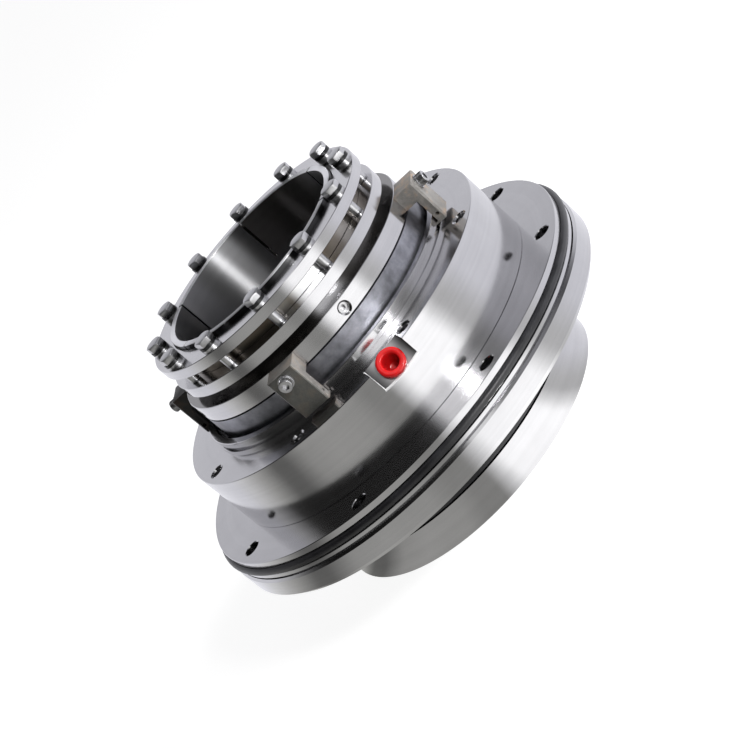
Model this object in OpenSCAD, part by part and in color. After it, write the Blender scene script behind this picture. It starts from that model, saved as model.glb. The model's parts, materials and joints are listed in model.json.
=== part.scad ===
// Cartridge mechanical seal: clamped shaft sleeve, two sprung face pairs, gland and mounting flange
// Sizes in millimetres, +Z along the shaft, z = 0 on the spigot's end face, front port towards -Y
// Angles count from -Y towards +X

/* [Shaft sleeve] */
// Diameter of the shaft
shaft_d = 160; // [150:0.5:170]
// Wall thickness of the sleeve
sleeve_wall = 5; // [4:0.5:7]
// Height of the sleeve above the upper clamp ring
sleeve_stand = 3.7; // [2:0.1:6]
// Thickness of the shoulder at the lower end
shoulder_h = 14; // [12:0.5:16]
// Width of the shoulder outside the sleeve
shoulder_w = 23; // [19:0.5:25]
// Number of slots in the clamped end
slot_count = 6; // [3:1:8]
// Width of a slot
slot_w = 2; // [1.5:0.5:3]
// Length of a slot
slot_len = 40; // [30:1:50]
// Angle of the first slot
slot_first = 47; // [40:1:55]

/* [Clamp] */
// Thickness of the taper ring at its ends
taper_end = 2.2; // [1.8:0.1:3]
// Rise of the taper ring towards its middle
taper_rise = 4.8; // [4:0.1:6]
// Length of each taper
taper_len = 8; // [7:0.5:9]
// Depth of the taper ring's ends below the clamp rings' outer faces
taper_sink = 2; // [1:0.5:3]
// Height of the lower clamp ring
lower_clamp_h = 9.6; // [8:0.2:12]
// Height of the upper clamp ring
upper_clamp_h = 8.7; // [8:0.1:12]
// Space between the clamp rings
clamp_gap = 11.1; // [9:0.1:14]
// Metal between the taper ring's middle and the bolt holes
clamp_web = 1.1; // [0.8:0.1:2]
// Metal outside the bolt heads' corners
clamp_edge = 1.1; // [0.8:0.1:3]

/* [Clamp bolts] */
// Number of clamp bolts
bolt_count = 12; // [6:1:16]
// Angle of the first bolt
bolt_first = 15; // [10:1:20]
// Thread diameter of the bolts
bolt_d = 8; // [7:0.5:9]
// Width across the flats of the heads
bolt_af = 13; // [12:0.5:14]
// Height of the heads
bolt_head_h = 5.3; // [4:0.1:7]
// Thickness of the plain washers
bolt_washer_t = 2.2; // [1.4:0.1:2.6]
// Thickness of the spring washers
spring_washer_t = 2.4; // [1.5:0.1:2.6]
// Width of the washers' ring
bolt_washer_w = 2.9; // [2.2:0.1:3]
// Radial clearance around the bolts in the upper ring
bolt_play = 0.5; // [0.3:0.1:0.8]

/* [Drive collar] */
// Height of the collar's rim
drive_rim_h = 14.3; // [13:0.1:18]
// Height of the collar's neck
drive_neck_h = 6.8; // [5:0.1:9]
// Width of the step from rim to neck
drive_step = 19; // [16:0.5:20]
// Number of set screws
set_count = 4; // [2:1:4]
// Angle of the first set screw
set_first = 5; // [0:1:10]
// Diameter of the set screws
set_d = 8; // [6:0.5:9]
// Depth of the set screws below the rim
set_sink = 4; // [2:0.5:5]
// Diameter of the countersinks over the set screws
set_mouth_d = 11; // [10:0.1:12]

/* [Setting clips] */
// Angle of the front clip
clip_first = -25.5; // [-30:0.5:-20]
// Width of a clip
clip_w = 24; // [18:0.5:28]
// Thickness of the clip's head
clip_head_t = 17.1; // [15:0.1:20]
// Clearance of the clip from the collar it runs over
clip_clear = 0.6; // [0.4:0.1:0.8]
// Depth of the clip's top edge below the drive collar's rim
clip_sink = 0.7; // [0.3:0.1:1.5]
// Diameter of the cross hole in the arm
clip_eye_d = 3; // [2:0.5:4]
// Height of the cross hole above the arm's tip
clip_eye_z = 6.5; // [5:0.5:9]
// Thread diameter of the clip screws
clip_screw_d = 6; // [5:0.5:7]
// Head diameter of the clip screws
clip_screw_head_d = 10; // [9:0.5:12]
// Head height of the clip screws
clip_screw_head_h = 6; // [5:0.5:7]
// Thread length of the clip screws inside the drive collar
clip_screw_grip = 13; // [9:0.5:15]
// Thickness of the clip washers
clip_washer_t = 1.2; // [0.8:0.1:2]

/* [Seal faces] */
// Thickness of the film between the running faces
film = 0.05; // [0.03:0.01:0.1]
// Space between the sleeve and the hub of each web
hub_gap = 7; // [5:0.5:9]
// Wall of the hubs that guide the sliding faces
hub_wall = 3; // [2.5:0.5:4]
// Length of the hubs
hub_len = 10; // [8:0.5:11]
// Clearance between a sliding face and its hub
slide_clear = 0.4; // [0.3:0.05:0.6]
// Radial thickness of the sliding faces
face_wall = 17; // [16:0.5:20]
// Height of a sliding face's body
face_body_h = 10; // [10:0.5:12]
// Height of the running nose
face_nose_h = 4; // [3:0.5:5]
// Width of the running nose
face_nose_w = 8; // [6:0.5:9]
// Distance of the nose from the sliding face's bore
face_nose_in = 3.4; // [2:0.2:5]
// Travel of a sliding face
face_travel = 2; // [1.5:0.1:2.2]
// Height of the inner rotating ring
inner_ring_h = 20; // [16:0.5:22]
// Height of the grey ring above the collar
outer_ring_show = 15; // [13:0.5:19]
// Depth of the outer running face below the collar's top
face_depth = 12.8; // [11:0.2:15]
// Dark line between the grey ring and the drive collar
ring_line = 1; // [0.6:0.1:2]
// Depth of the dark line inside the grey ring's wall
ring_line_depth = 7; // [4:0.5:9]
// Space between the rotating rings and the housing bore
ring_gap = 3.8; // [3:0.1:5]
// Space between the sliding faces and the housing bore
face_gap = 2.6; // [2:0.1:4]

/* [Springs and pins] */
// Number of springs behind each sliding face
spring_count = 6; // [4:1:9]
// Mean diameter of a spring
spring_d = 6.4; // [5.5:0.1:7]
// Wire diameter of a spring
spring_wire = 1; // [0.8:0.1:1.2]
// Turns of a spring
spring_turns = 4; // [3:0.5:4]
// Depth of the spring pockets
pocket_depth = 5; // [4:0.5:5.5]
// Number of locking pins and drive pins
pin_count = 3; // [2:1:3]
// Diameter of the pins
pin_d = 5; // [4:0.5:6]
// Length of a drive pin in its rotating ring
drive_pin_len = 9; // [7:0.5:10]
// Length of a drive pin in the drive collar
drive_pin_seat = 6; // [5:0.5:9]
// Length of a locking pin in its web
lock_len = 6; // [5:0.5:7]
// Length of a locking pin in its sliding face
lock_reach = 6.5; // [5:0.5:7]
// Radial clearance of the pins in the sliding faces
pin_play = 0.5; // [0.3:0.1:0.8]

/* [Gland housing] */
// Height of the gland's cylinder
gland_h = 53; // [50:0.5:60]
// Wall of the gland outside the bore
gland_wall = 34.3; // [33:0.1:40]
// Height of the collar
collar_h = 9.8; // [9:0.1:12]
// Wall of the collar
collar_wall = 5.4; // [5:0.1:7]
// Height of the ridge under the clip groove
ridge_h = 2.2; // [1.5:0.1:3]
// Step of the ridge outside the collar
ridge_step = 1.4; // [0.8:0.1:2]
// Height of the clip groove
clip_groove_h = 2.5; // [2:0.1:3]
// Depth of the clip groove
clip_groove_depth = 2.8; // [2.2:0.1:3]
// Thickness of the gland's web
outer_web_h = 9; // [8:0.5:10]
// Number of tapped holes in the top face
cover_count = 8; // [4:4:8]
// Angle of the first tapped hole
cover_first = 10; // [10:0.5:12]
// Thread diameter of the tapped holes
cover_thread_d = 12; // [10:0.5:12]
// Depth of the tapped holes
cover_depth = 26; // [20:1:30]
// Distance of the tapped holes from the outer wall
cover_inset = 10.8; // [10:0.1:14]

/* [Ports] */
// Width of the inclined flat
port_w = 34; // [30:0.5:34]
// Height of the inclined flat down the wall
port_drop = 16.7; // [16:0.1:19]
// Depth of the inclined flat into the top face
port_in = 15; // [15:0.1:16]
// Diameter of the port's thread
port_d = 13.2; // [11:0.1:14]
// Depth of the port's thread
port_depth = 14; // [13:0.5:18]
// Diameter of the drilled passage
passage_d = 6; // [4:0.5:6]
// Diameter of the plug's cap
plug_d = 21.6; // [18:0.1:22]
// Height of the plug's cap
plug_h = 4.4; // [3:0.1:6]
// Diameter of the plug's recess
plug_recess_d = 13; // [9:0.1:14]
// Length of the plug inside the port
plug_stem = 11; // [9:0.5:12]

/* [Mounting flange] */
// Height of the spigot
spigot_h = 57; // [53:0.5:65]
// Wall of the spigot
spigot_wall = 12; // [11:0.5:16]
// Height of the spigot's ring groove above its end
spigot_groove_z = 28.5; // [20:0.5:34]
// Cord diameter of the spigot's ring
spigot_cord = 7; // [6:0.1:8]
// Height of the lower rim
rim_h = 20.6; // [18:0.2:26]
// Step of the lower rim outside the upper disc
rim_step = 3.3; // [2.6:0.1:4]
// Height of the rim's lower chamfer
rim_under = 4; // [2:0.5:6]
// Chamfer of the rim's upper edge
rim_edge = 1.8; // [1:0.1:2.4]
// Height of the slot above the rim
rim_slot_h = 1.8; // [1:0.1:2.5]
// Depth of the slot above the rim
rim_slot_depth = 4.7; // [3:0.1:5]
// Height of the land between the slot and the ring groove
land_h = 3; // [2:0.1:5]
// Height of the open ring groove
ring_groove_h = 7.6; // [7.2:0.1:9]
// Cord diameter of the flange ring
flange_cord = 6.2; // [5.6:0.1:6.6]
// Stand of the flange ring outside the rim
flange_ring_stand = 0.3; // [0:0.1:0.6]
// Height of the upper disc
disc_h = 5; // [4:0.5:8]
// Width of the upper disc outside the gland
disc_ledge = 32.4; // [32:0.1:38]
// Number of mounting holes
mount_count = 8; // [4:1:12]
// Angle of the first mounting hole
mount_first = 14; // [10:0.5:20]
// Diameter of the mounting holes
mount_d = 13; // [11:0.5:13.5]
// Distance of the mounting holes from the disc's edge
mount_inset = 13.2; // [13:0.1:15]
// Thickness of the flange's web
inner_web_h = 12; // [10:0.5:14]
// Height of the flange's web above the spigot's shoulder
inner_web_rise = 1; // [0.5:0.5:4]

/* [Housing screws] */
// Number of housing screws
house_count = 8; // [4:4:8]
// Angle of the first housing screw
house_first = 32.5; // [31:0.5:34]
// Thread diameter of the housing screws
house_d = 8; // [6:0.5:10]
// Thread length of the housing screws inside the gland
house_grip = 16; // [12:0.5:20]
// Distance of the screw heads from the spigot
house_off = 3.6; // [2:0.1:5]

/* [Fits] */
// Radial clearance of pieces seated on the sleeve
seat_clear = 0.05; // [0.03:0.01:0.1]
// Clearance of the sealing rings in their grooves
ring_clear = 0.1; // [0.05:0.01:0.2]
// Radial clearance of threads and pressed pins
thread_clear = 0.05; // [0.03:0.01:0.1]
// Clearance of a sealing ring from the part that slides in it
seal_clear = 0.3; // [0.3:0.05:0.4]
// Cord diameter of the sealing rings on the sleeve
cord = 4.4; // [4:0.1:4.8]
// Width of the broken edges
edge = 0.4; // [0.3:0.1:1]

/* [Hidden] */
$fn = 96;
steel = [0.74, 0.74, 0.77];
dark_steel = [0.55, 0.55, 0.57];
rubber = [0.09, 0.09, 0.1];
carbide = [0.40, 0.41, 0.45];
carbon = [0.16, 0.16, 0.17];

// Radii, from the shaft outwards
shaft_r = shaft_d / 2;
sleeve_r = shaft_r + sleeve_wall;
shoulder_r = sleeve_r + shoulder_w;
seat_r = sleeve_r + seat_clear;
hub_in_r = sleeve_r + hub_gap;
hub_r = hub_in_r + hub_wall;
face_in_r = hub_r + slide_clear;
nose_in_r = face_in_r + face_nose_in;
nose_r = nose_in_r + face_nose_w;
face_r = face_in_r + face_wall;
bore_r = face_r + face_gap;
ring_r = bore_r - ring_gap;
collar_r = bore_r + collar_wall;
ridge_r = collar_r + ridge_step;
clip_groove_r = collar_r - clip_groove_depth;
spigot_r = bore_r + spigot_wall;
gland_r = bore_r + gland_wall;
disc_r = gland_r + disc_ledge;
rim_r = disc_r + rim_step;
land_r = rim_r - rim_edge;
rim_slot_r = land_r - rim_slot_depth;
pocket_r = face_in_r + face_wall / 2;
taper_r1 = sleeve_r + taper_end;
taper_r2 = taper_r1 + taper_rise;
bolt_hole_r = bolt_d / 2 + bolt_play;
bolt_r = taper_r2 + clamp_web + bolt_hole_r;
clamp_r = bolt_r + bolt_af / 2 / cos(30) + clamp_edge;
cover_r = gland_r - cover_inset;
mount_r = disc_r - mount_inset;
house_head_r = house_d * 0.8;
house_r = spigot_r + house_off + house_head_r;
house_seat = house_d + 0.5;
flange_ring_r = rim_r + flange_ring_stand - flange_cord / 2;
flange_groove_r = flange_ring_r - flange_cord / 2 - ring_clear;
spigot_ring_r = spigot_r + 0.8 - spigot_cord / 2;
house_cord = 5;
house_ring_r = (bore_r + house_r - house_d / 2) / 2;

// Heights of the fixed pieces
rim_z = spigot_h + rim_h;
rim_slot_z = rim_z + rim_slot_h;
land_z = rim_slot_z + land_h;
disc_z = land_z + ring_groove_h;
flange_top = disc_z + disc_h;
gland_top = flange_top + gland_h;
collar_top = gland_top + collar_h;
clip_groove_z = gland_top + ridge_h;
inner_web_z = spigot_h + inner_web_rise;
face_h = face_body_h + face_nose_h;
slack = face_travel + 0.2;

// Heights of the face pairs and the rotor
outer_face_z = collar_top - face_depth;
outer_web_z = outer_face_z - face_h - slack;
inner_face_z = inner_web_z - slack - face_h;
shoulder_z = inner_face_z - film - inner_ring_h;
sleeve_z = shoulder_z - shoulder_h;
ring_top = collar_top + outer_ring_show;
drive_z = ring_top + ring_line;
neck_z = drive_z + drive_rim_h;
lower_clamp_z = neck_z + drive_neck_h;
upper_clamp_z = lower_clamp_z + lower_clamp_h + clamp_gap;
clamp_top = upper_clamp_z + upper_clamp_h;
sleeve_top = clamp_top + sleeve_stand;
taper_lo = lower_clamp_z + taper_sink;
taper_hi = clamp_top - taper_sink;
taper_slope = taper_rise / taper_len;

// Sizes of the clips, the port and the pins
clip_r = ring_r + clip_head_t;
clip_arm_r = collar_r + clip_clear;
clip_nib_r = clip_groove_r + clip_clear;
clip_tip = clip_groove_z + 0.5;
clip_nib_h = clip_groove_h - 0.9;
clip_top = neck_z - clip_sink;
clip_foot = drive_z + 0.1;
clip_screw_z = (clip_top + clip_foot) / 2;
port_tilt = atan(port_in / port_drop);
port_r = gland_r - port_in / 2;
port_z = gland_top - port_drop / 2;
drive_pin_r = (seat_r + cord + ring_r) / 2;

// A turned piece from its half section
module turned(section) {
  rotate_extrude() polygon(section);
}

// A sealing ring of round cord
module o_ring(mean_r, cord_d, z) {
  translate([0, 0, z]) rotate_extrude() translate([mean_r, 0]) circle(d = cord_d, $fn = 40);
}

// Copies of a piece spread around the shaft, drawn at -Y
module spread(count, first, r) {
  for (i = [0 : count - 1])
    rotate([0, 0, first + i * 360 / count]) translate([0, -r, 0]) children();
}

// Points along a coil spring: steps of the wire's centre line, each with its ring of corners
function coil_points(mean_r, wire_r, length, turns, steps, sides) = [
  for (i = [0 : steps], j = [0 : sides - 1])
    let (a = 360 * turns * i / steps, b = 360 * j / sides, w = mean_r + wire_r * cos(b))
    [w * cos(a), w * sin(a), wire_r + (length - 2 * wire_r) * i / steps + wire_r * sin(b)]
];

// A coil spring standing on z = 0
module coil(mean_d, wire_d, length, turns) {
  sides = 6;
  steps = round(turns * 10);
  sleeve_faces = [
    for (i = [0 : steps - 1], j = [0 : sides - 1])
      let (k = (j + 1) % sides)
      [i * sides + j, i * sides + k, (i + 1) * sides + k, (i + 1) * sides + j]
  ];
  first_end = [[for (j = [sides - 1 : -1 : 0]) j]];
  last_end = [[for (j = [0 : sides - 1]) steps * sides + j]];
  polyhedron(
    points = coil_points(mean_d / 2, wire_d / 2, length, turns, steps, sides),
    faces = concat(sleeve_faces, first_end, last_end)
  );
}

// A cap screw with its head's seat at z = 0, head upwards
module cap_screw(d, head_d, head_h, length) {
  difference() {
    union() {
      turned([[0, 0], [head_d / 2, 0], [head_d / 2, head_h - 0.5], [head_d / 2 - 0.5, head_h], [0, head_h]]);
      translate([0, 0, -length]) cylinder(d = d, h = length);
    }
    translate([0, 0, head_h / 2]) cylinder(d = d * 0.96, h = head_h, $fn = 6);
  }
}

// Gland housing
module gland_housing() {
  color(steel) difference() {
    turned([
      [bore_r, flange_top],
      [gland_r - edge, flange_top],
      [gland_r, flange_top + edge],
      [gland_r, gland_top - edge],
      [gland_r - edge, gland_top],
      [ridge_r, gland_top],
      [ridge_r, clip_groove_z],
      [clip_groove_r, clip_groove_z],
      [clip_groove_r, clip_groove_z + clip_groove_h],
      [collar_r, clip_groove_z + clip_groove_h],
      [collar_r, collar_top - edge],
      [collar_r - edge, collar_top],
      [bore_r, collar_top],
      [bore_r, outer_web_z],
      [hub_r, outer_web_z],
      [hub_r, outer_web_z + hub_len],
      [hub_in_r, outer_web_z + hub_len],
      [hub_in_r, outer_web_z - outer_web_h],
      [bore_r, outer_web_z - outer_web_h]
    ]);
    spread(cover_count, cover_first, cover_r) {
      translate([0, 0, gland_top - cover_depth]) cylinder(d = cover_thread_d * 0.85, h = cover_depth + 1);
      translate([0, 0, gland_top - 1.4])
        cylinder(d1 = cover_thread_d * 0.85, d2 = cover_thread_d * 0.85 + 4.8, h = 2.4);
    }
    spread(house_count, house_first, house_r)
      translate([0, 0, flange_top - 1]) cylinder(r = house_d / 2 + thread_clear, h = house_grip + 2);
    for (turn = [0, 180]) rotate([0, 0, turn]) port_cut();
    spread(spring_count, 0, pocket_r)
      translate([0, 0, outer_web_z - pocket_depth]) cylinder(d = spring_d + spring_wire + 1, h = pocket_depth + 1);
    spread(pin_count, 180 / spring_count, pocket_r)
      translate([0, 0, outer_web_z - lock_len]) cylinder(r = pin_d / 2 + thread_clear, h = lock_len + 1);
  }
}

// The inclined flat with its tapped hole and drilled passage, at -Y
module port_cut() {
  reach = (port_r - bore_r) / cos(port_tilt) + 2;
  translate([0, -port_r, port_z]) rotate([90 - port_tilt, 0, 0]) {
    translate([-port_w / 2, -gland_h, 0]) cube([port_w, 2 * gland_h, gland_h]);
    translate([0, 0, -port_depth]) cylinder(d = port_d, h = port_depth + 1);
    translate([0, 0, -reach]) cylinder(d = passage_d, h = reach);
  }
}

// Mounting flange with its rim, the slot above it, the open ring groove and the upper disc
module mounting_flange() {
  color(steel) difference() {
    turned([
      [spigot_r + seat_clear, spigot_h],
      [rim_r - rim_under * 0.9, spigot_h],
      [rim_r, spigot_h + rim_under],
      [rim_r, rim_z - rim_edge],
      [land_r, rim_z],
      [rim_slot_r, rim_z],
      [rim_slot_r, rim_slot_z],
      [land_r, rim_slot_z],
      [land_r, land_z - edge],
      [land_r - edge, land_z],
      [flange_groove_r, land_z],
      [flange_groove_r, disc_z],
      [disc_r, disc_z],
      [disc_r, flange_top - edge],
      [disc_r - edge, flange_top],
      [bore_r, flange_top],
      [bore_r, inner_web_z + inner_web_h],
      [hub_in_r, inner_web_z + inner_web_h],
      [hub_in_r, inner_web_z - hub_len],
      [hub_r, inner_web_z - hub_len],
      [hub_r, inner_web_z],
      [spigot_r + seat_clear, inner_web_z]
    ]);
    spread(mount_count, mount_first, mount_r)
      translate([0, 0, spigot_h - 1]) cylinder(d = mount_d, h = flange_top - spigot_h + 2);
    spread(mount_count, mount_first, mount_r)
      translate([0, 0, flange_top - 0.6]) cylinder(d1 = mount_d, d2 = mount_d + 2.4, h = 1.2);
    spread(house_count, house_first, house_r) {
      translate([0, 0, spigot_h - 1]) cylinder(r = house_head_r + 0.5, h = house_seat + 1);
      translate([0, 0, spigot_h]) cylinder(r = house_d / 2 + 0.5, h = flange_top - spigot_h + 1);
    }
    translate([0, 0, flange_top - house_cord - ring_clear]) rotate_extrude()
      translate([house_ring_r - house_cord / 2 - ring_clear, 0])
      square([house_cord + 2 * ring_clear, house_cord + 1]);
    spread(spring_count, 0, pocket_r)
      translate([0, 0, inner_web_z - 1]) cylinder(d = spring_d + spring_wire + 1, h = pocket_depth + 1);
    spread(pin_count, 180 / spring_count, pocket_r)
      translate([0, 0, inner_web_z - 1]) cylinder(r = pin_d / 2 + thread_clear, h = lock_len + 1);
  }
}

// Spigot let into the flange's underside, with the groove of its ring
module flange_spigot() {
  groove_top = spigot_groove_z + spigot_cord + 0.5;
  groove_r = spigot_ring_r - spigot_cord / 2 - ring_clear;
  color(steel) turned([
    [bore_r + edge, 0],
    [spigot_r - edge, 0],
    [spigot_r, edge],
    [spigot_r, spigot_groove_z],
    [groove_r, spigot_groove_z],
    [groove_r, groove_top],
    [spigot_r, groove_top],
    [spigot_r, inner_web_z],
    [bore_r, inner_web_z],
    [bore_r, edge]
  ]);
}

// Ring in the open groove of the flange
module flange_o_ring() {
  color(rubber) o_ring(flange_ring_r, flange_cord, (land_z + disc_z) / 2);
}

// Ring in the spigot's groove
module spigot_o_ring() {
  color(rubber) o_ring(spigot_ring_r, spigot_cord, spigot_groove_z + spigot_cord / 2 + 0.25);
}

// Ring in the joint of gland and flange
module housing_o_ring() {
  color(rubber) o_ring(house_ring_r, house_cord, flange_top - house_cord / 2 - ring_clear / 2);
}

// Cap screws that hold the gland on the flange, heads down in their counterbores
module housing_screws() {
  length = flange_top - spigot_h - house_seat + house_grip;
  color(dark_steel) spread(house_count, house_first, house_r)
    translate([0, 0, spigot_h + house_seat]) rotate([180, 0, 0])
    cap_screw(house_d, 2 * house_head_r, house_d, length);
}

// Plug of a port, at -Y
module port_plug() {
  color([0.85, 0.12, 0.12])
    translate([0, -port_r, port_z]) rotate([90 - port_tilt, 0, 0]) difference() {
      turned([
        [0, -plug_stem],
        [port_d / 2 - 1.2, -plug_stem],
        [port_d / 2 - ring_clear, -1],
        [port_d / 2 - ring_clear, 0],
        [plug_d / 2, 0],
        [plug_d / 2, plug_h - 1],
        [plug_d / 2 - 1, plug_h],
        [plug_recess_d / 2 + 0.6, plug_h],
        [plug_recess_d / 2, plug_h - 0.6],
        [plug_recess_d / 2 - 2.6, 2 - plug_stem],
        [0, 1.5 - plug_stem]
      ]);
    }
}

// Front port's plug
module port_plug_front() {
  port_plug();
}

// Rear port's plug
module port_plug_rear() {
  rotate([0, 0, 180]) port_plug();
}

// Pins that keep the outer sliding face from turning
module outer_locking_pins() {
  color(dark_steel) spread(pin_count, 180 / spring_count, pocket_r)
    translate([0, 0, outer_web_z - lock_len]) cylinder(d = pin_d, h = lock_len + slack + lock_reach);
}

// Pins that keep the inner sliding face from turning
module inner_locking_pins() {
  reach = slack + lock_reach;
  color(dark_steel) spread(pin_count, 180 / spring_count, pocket_r)
    translate([0, 0, inner_web_z - reach]) cylinder(d = pin_d, h = reach + lock_len);
}

// A sliding face standing on z = 0 with its nose up, with the holes for its pins
module sliding_face() {
  groove_h = cord + 0.4;
  groove_r = hub_r + seal_clear + cord + ring_clear;
  color(carbon) difference() {
    turned([
      [face_in_r, 0],
      [face_r - edge, 0],
      [face_r, edge],
      [face_r, face_body_h],
      [nose_r, face_body_h],
      [nose_r, face_h],
      [nose_in_r, face_h],
      [nose_in_r, face_body_h],
      [face_in_r, face_body_h]
    ]);
    translate([0, 0, 2]) rotate_extrude() square([groove_r, groove_h]);
    spread(pin_count, 180 / spring_count, pocket_r)
      translate([0, 0, -1]) cylinder(r = pin_d / 2 + pin_play, h = lock_reach + slack + 1.3);
  }
}

// Outer sliding face
module outer_sliding_face() {
  translate([0, 0, outer_face_z - face_h]) sliding_face();
}

// Ring between the outer sliding face and its hub
module outer_face_o_ring() {
  color(rubber)
    o_ring(hub_r + seal_clear + cord / 2, cord, outer_face_z - face_h + 2.2 + cord / 2);
}

// Springs behind the outer sliding face
module outer_springs() {
  length = pocket_depth + slack - 0.1;
  color(steel) spread(spring_count, 0, pocket_r)
    translate([0, 0, outer_web_z - pocket_depth + 0.05]) coil(spring_d, spring_wire, length, spring_turns);
}

// Inner sliding face, nose down
module inner_sliding_face() {
  translate([0, 0, inner_face_z + face_h]) mirror([0, 0, 1]) sliding_face();
}

// Ring between the inner sliding face and its hub
module inner_face_o_ring() {
  color(rubber)
    o_ring(hub_r + seal_clear + cord / 2, cord, inner_face_z + face_h - 2.2 - cord / 2);
}

// Springs behind the inner sliding face
module inner_springs() {
  length = pocket_depth + slack - 0.1;
  color(steel) spread(spring_count, 0, pocket_r)
    translate([0, 0, inner_web_z - slack + 0.05]) coil(spring_d, spring_wire, length, spring_turns);
}

// Shaft sleeve with its shoulder and slotted end
module shaft_sleeve() {
  groove_z = sleeve_z + shoulder_h / 2 - cord / 2 - 0.2;
  groove_r = shaft_r + seat_clear + cord + ring_clear;
  color(dark_steel) difference() {
    turned([
      [shaft_r, sleeve_z],
      [shoulder_r - edge, sleeve_z],
      [shoulder_r, sleeve_z + edge],
      [shoulder_r, shoulder_z],
      [sleeve_r, shoulder_z],
      [sleeve_r, sleeve_top - edge],
      [sleeve_r - edge, sleeve_top],
      [shaft_r + edge, sleeve_top],
      [shaft_r, sleeve_top - edge],
      [shaft_r, groove_z + cord + 0.4],
      [groove_r, groove_z + cord + 0.4],
      [groove_r, groove_z],
      [shaft_r, groove_z]
    ]);
    spread(slot_count, slot_first, 0)
      translate([-slot_w / 2, -sleeve_r - 1, sleeve_top - slot_len]) cube([slot_w, sleeve_wall + 2, slot_len + 1]);
    spread(pin_count, 0, drive_pin_r)
      translate([0, 0, shoulder_z - drive_pin_len]) cylinder(r = pin_d / 2 + thread_clear, h = drive_pin_len + 1);
  }
}

// Ring between the sleeve and the shaft
module sleeve_o_ring() {
  color(rubber) o_ring(shaft_r + seat_clear + cord / 2, cord, sleeve_z + shoulder_h / 2);
}

// Double taper ring on the sleeve
module clamp_taper_ring() {
  color(dark_steel) turned([
    [seat_r, taper_lo],
    [taper_r1, taper_lo],
    [taper_r2, taper_lo + taper_len],
    [taper_r2, taper_hi - taper_len],
    [taper_r1, taper_hi],
    [seat_r, taper_hi]
  ]);
}

// Upper clamp ring
module upper_clamp_ring() {
  top_r = taper_r1 - taper_slope * taper_sink + ring_clear;
  bottom_r = taper_r1 + taper_slope * (taper_hi - upper_clamp_z) + ring_clear;
  color(steel) difference() {
    turned([
      [bottom_r, upper_clamp_z],
      [clamp_r - edge, upper_clamp_z],
      [clamp_r, upper_clamp_z + edge],
      [clamp_r, clamp_top - edge],
      [clamp_r - edge, clamp_top],
      [top_r, clamp_top]
    ]);
    spread(bolt_count, bolt_first, bolt_r)
      translate([0, 0, upper_clamp_z - 1]) cylinder(r = bolt_hole_r, h = upper_clamp_h + 2);
  }
}

// Lower clamp ring
module lower_clamp_ring() {
  ring_top_z = lower_clamp_z + lower_clamp_h;
  top_r = taper_r1 + taper_slope * (ring_top_z - taper_lo) + ring_clear;
  bottom_r = taper_r1 - taper_slope * taper_sink + ring_clear;
  color(steel) difference() {
    turned([
      [bottom_r, lower_clamp_z],
      [clamp_r - edge, lower_clamp_z],
      [clamp_r, lower_clamp_z + edge],
      [clamp_r, ring_top_z - edge],
      [clamp_r - edge, ring_top_z],
      [top_r, ring_top_z]
    ]);
    spread(bolt_count, bolt_first, bolt_r)
      translate([0, 0, lower_clamp_z - 1])
      cylinder(r = bolt_d / 2 + thread_clear, h = lower_clamp_h + 2);
  }
}

// Hex bolts of the clamp
module clamp_bolts() {
  seat_z = clamp_top + bolt_washer_t + spring_washer_t;
  length = seat_z - lower_clamp_z - 1;
  corner_r = bolt_af / 2 / cos(30);
  color(steel) for (i = [0 : bolt_count - 1])
    rotate([0, 0, bolt_first + i * 360 / bolt_count]) translate([0, -bolt_r, seat_z]) rotate([0, 0, i * 37]) {
      translate([0, 0, -length]) cylinder(d = bolt_d, h = length + 1);
      intersection() {
        cylinder(r = corner_r, h = bolt_head_h, $fn = 6);
        turned([
          [0, 0],
          [corner_r, 0],
          [corner_r, bolt_head_h - 0.55],
          [bolt_af / 2 - 0.4, bolt_head_h],
          [0, bolt_head_h]
        ]);
      }
    }
}

// Plain washers on the upper clamp ring
module bolt_washers() {
  in_r = bolt_d / 2 + 0.3;
  out_r = in_r + bolt_washer_w;
  color(steel) spread(bolt_count, bolt_first, bolt_r) translate([0, 0, clamp_top])
    turned([[in_r, 0], [out_r, 0], [out_r, bolt_washer_t], [in_r, bolt_washer_t]]);
}

// Split spring washers under the bolt heads
module spring_washers() {
  in_r = bolt_d / 2 + 0.3;
  out_r = in_r + bolt_washer_w;
  color(steel) for (i = [0 : bolt_count - 1])
    rotate([0, 0, bolt_first + i * 360 / bolt_count]) translate([0, -bolt_r, clamp_top + bolt_washer_t])
      rotate([0, 0, i * 53]) difference() {
        turned([[in_r, 0], [out_r, 0], [out_r, spring_washer_t], [in_r, spring_washer_t]]);
        translate([out_r - bolt_washer_w / 2, 0, spring_washer_t / 2]) rotate([30, 0, 0])
          cube([bolt_washer_w * 2, 0.9, spring_washer_t * 3], center = true);
      }
}

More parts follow.
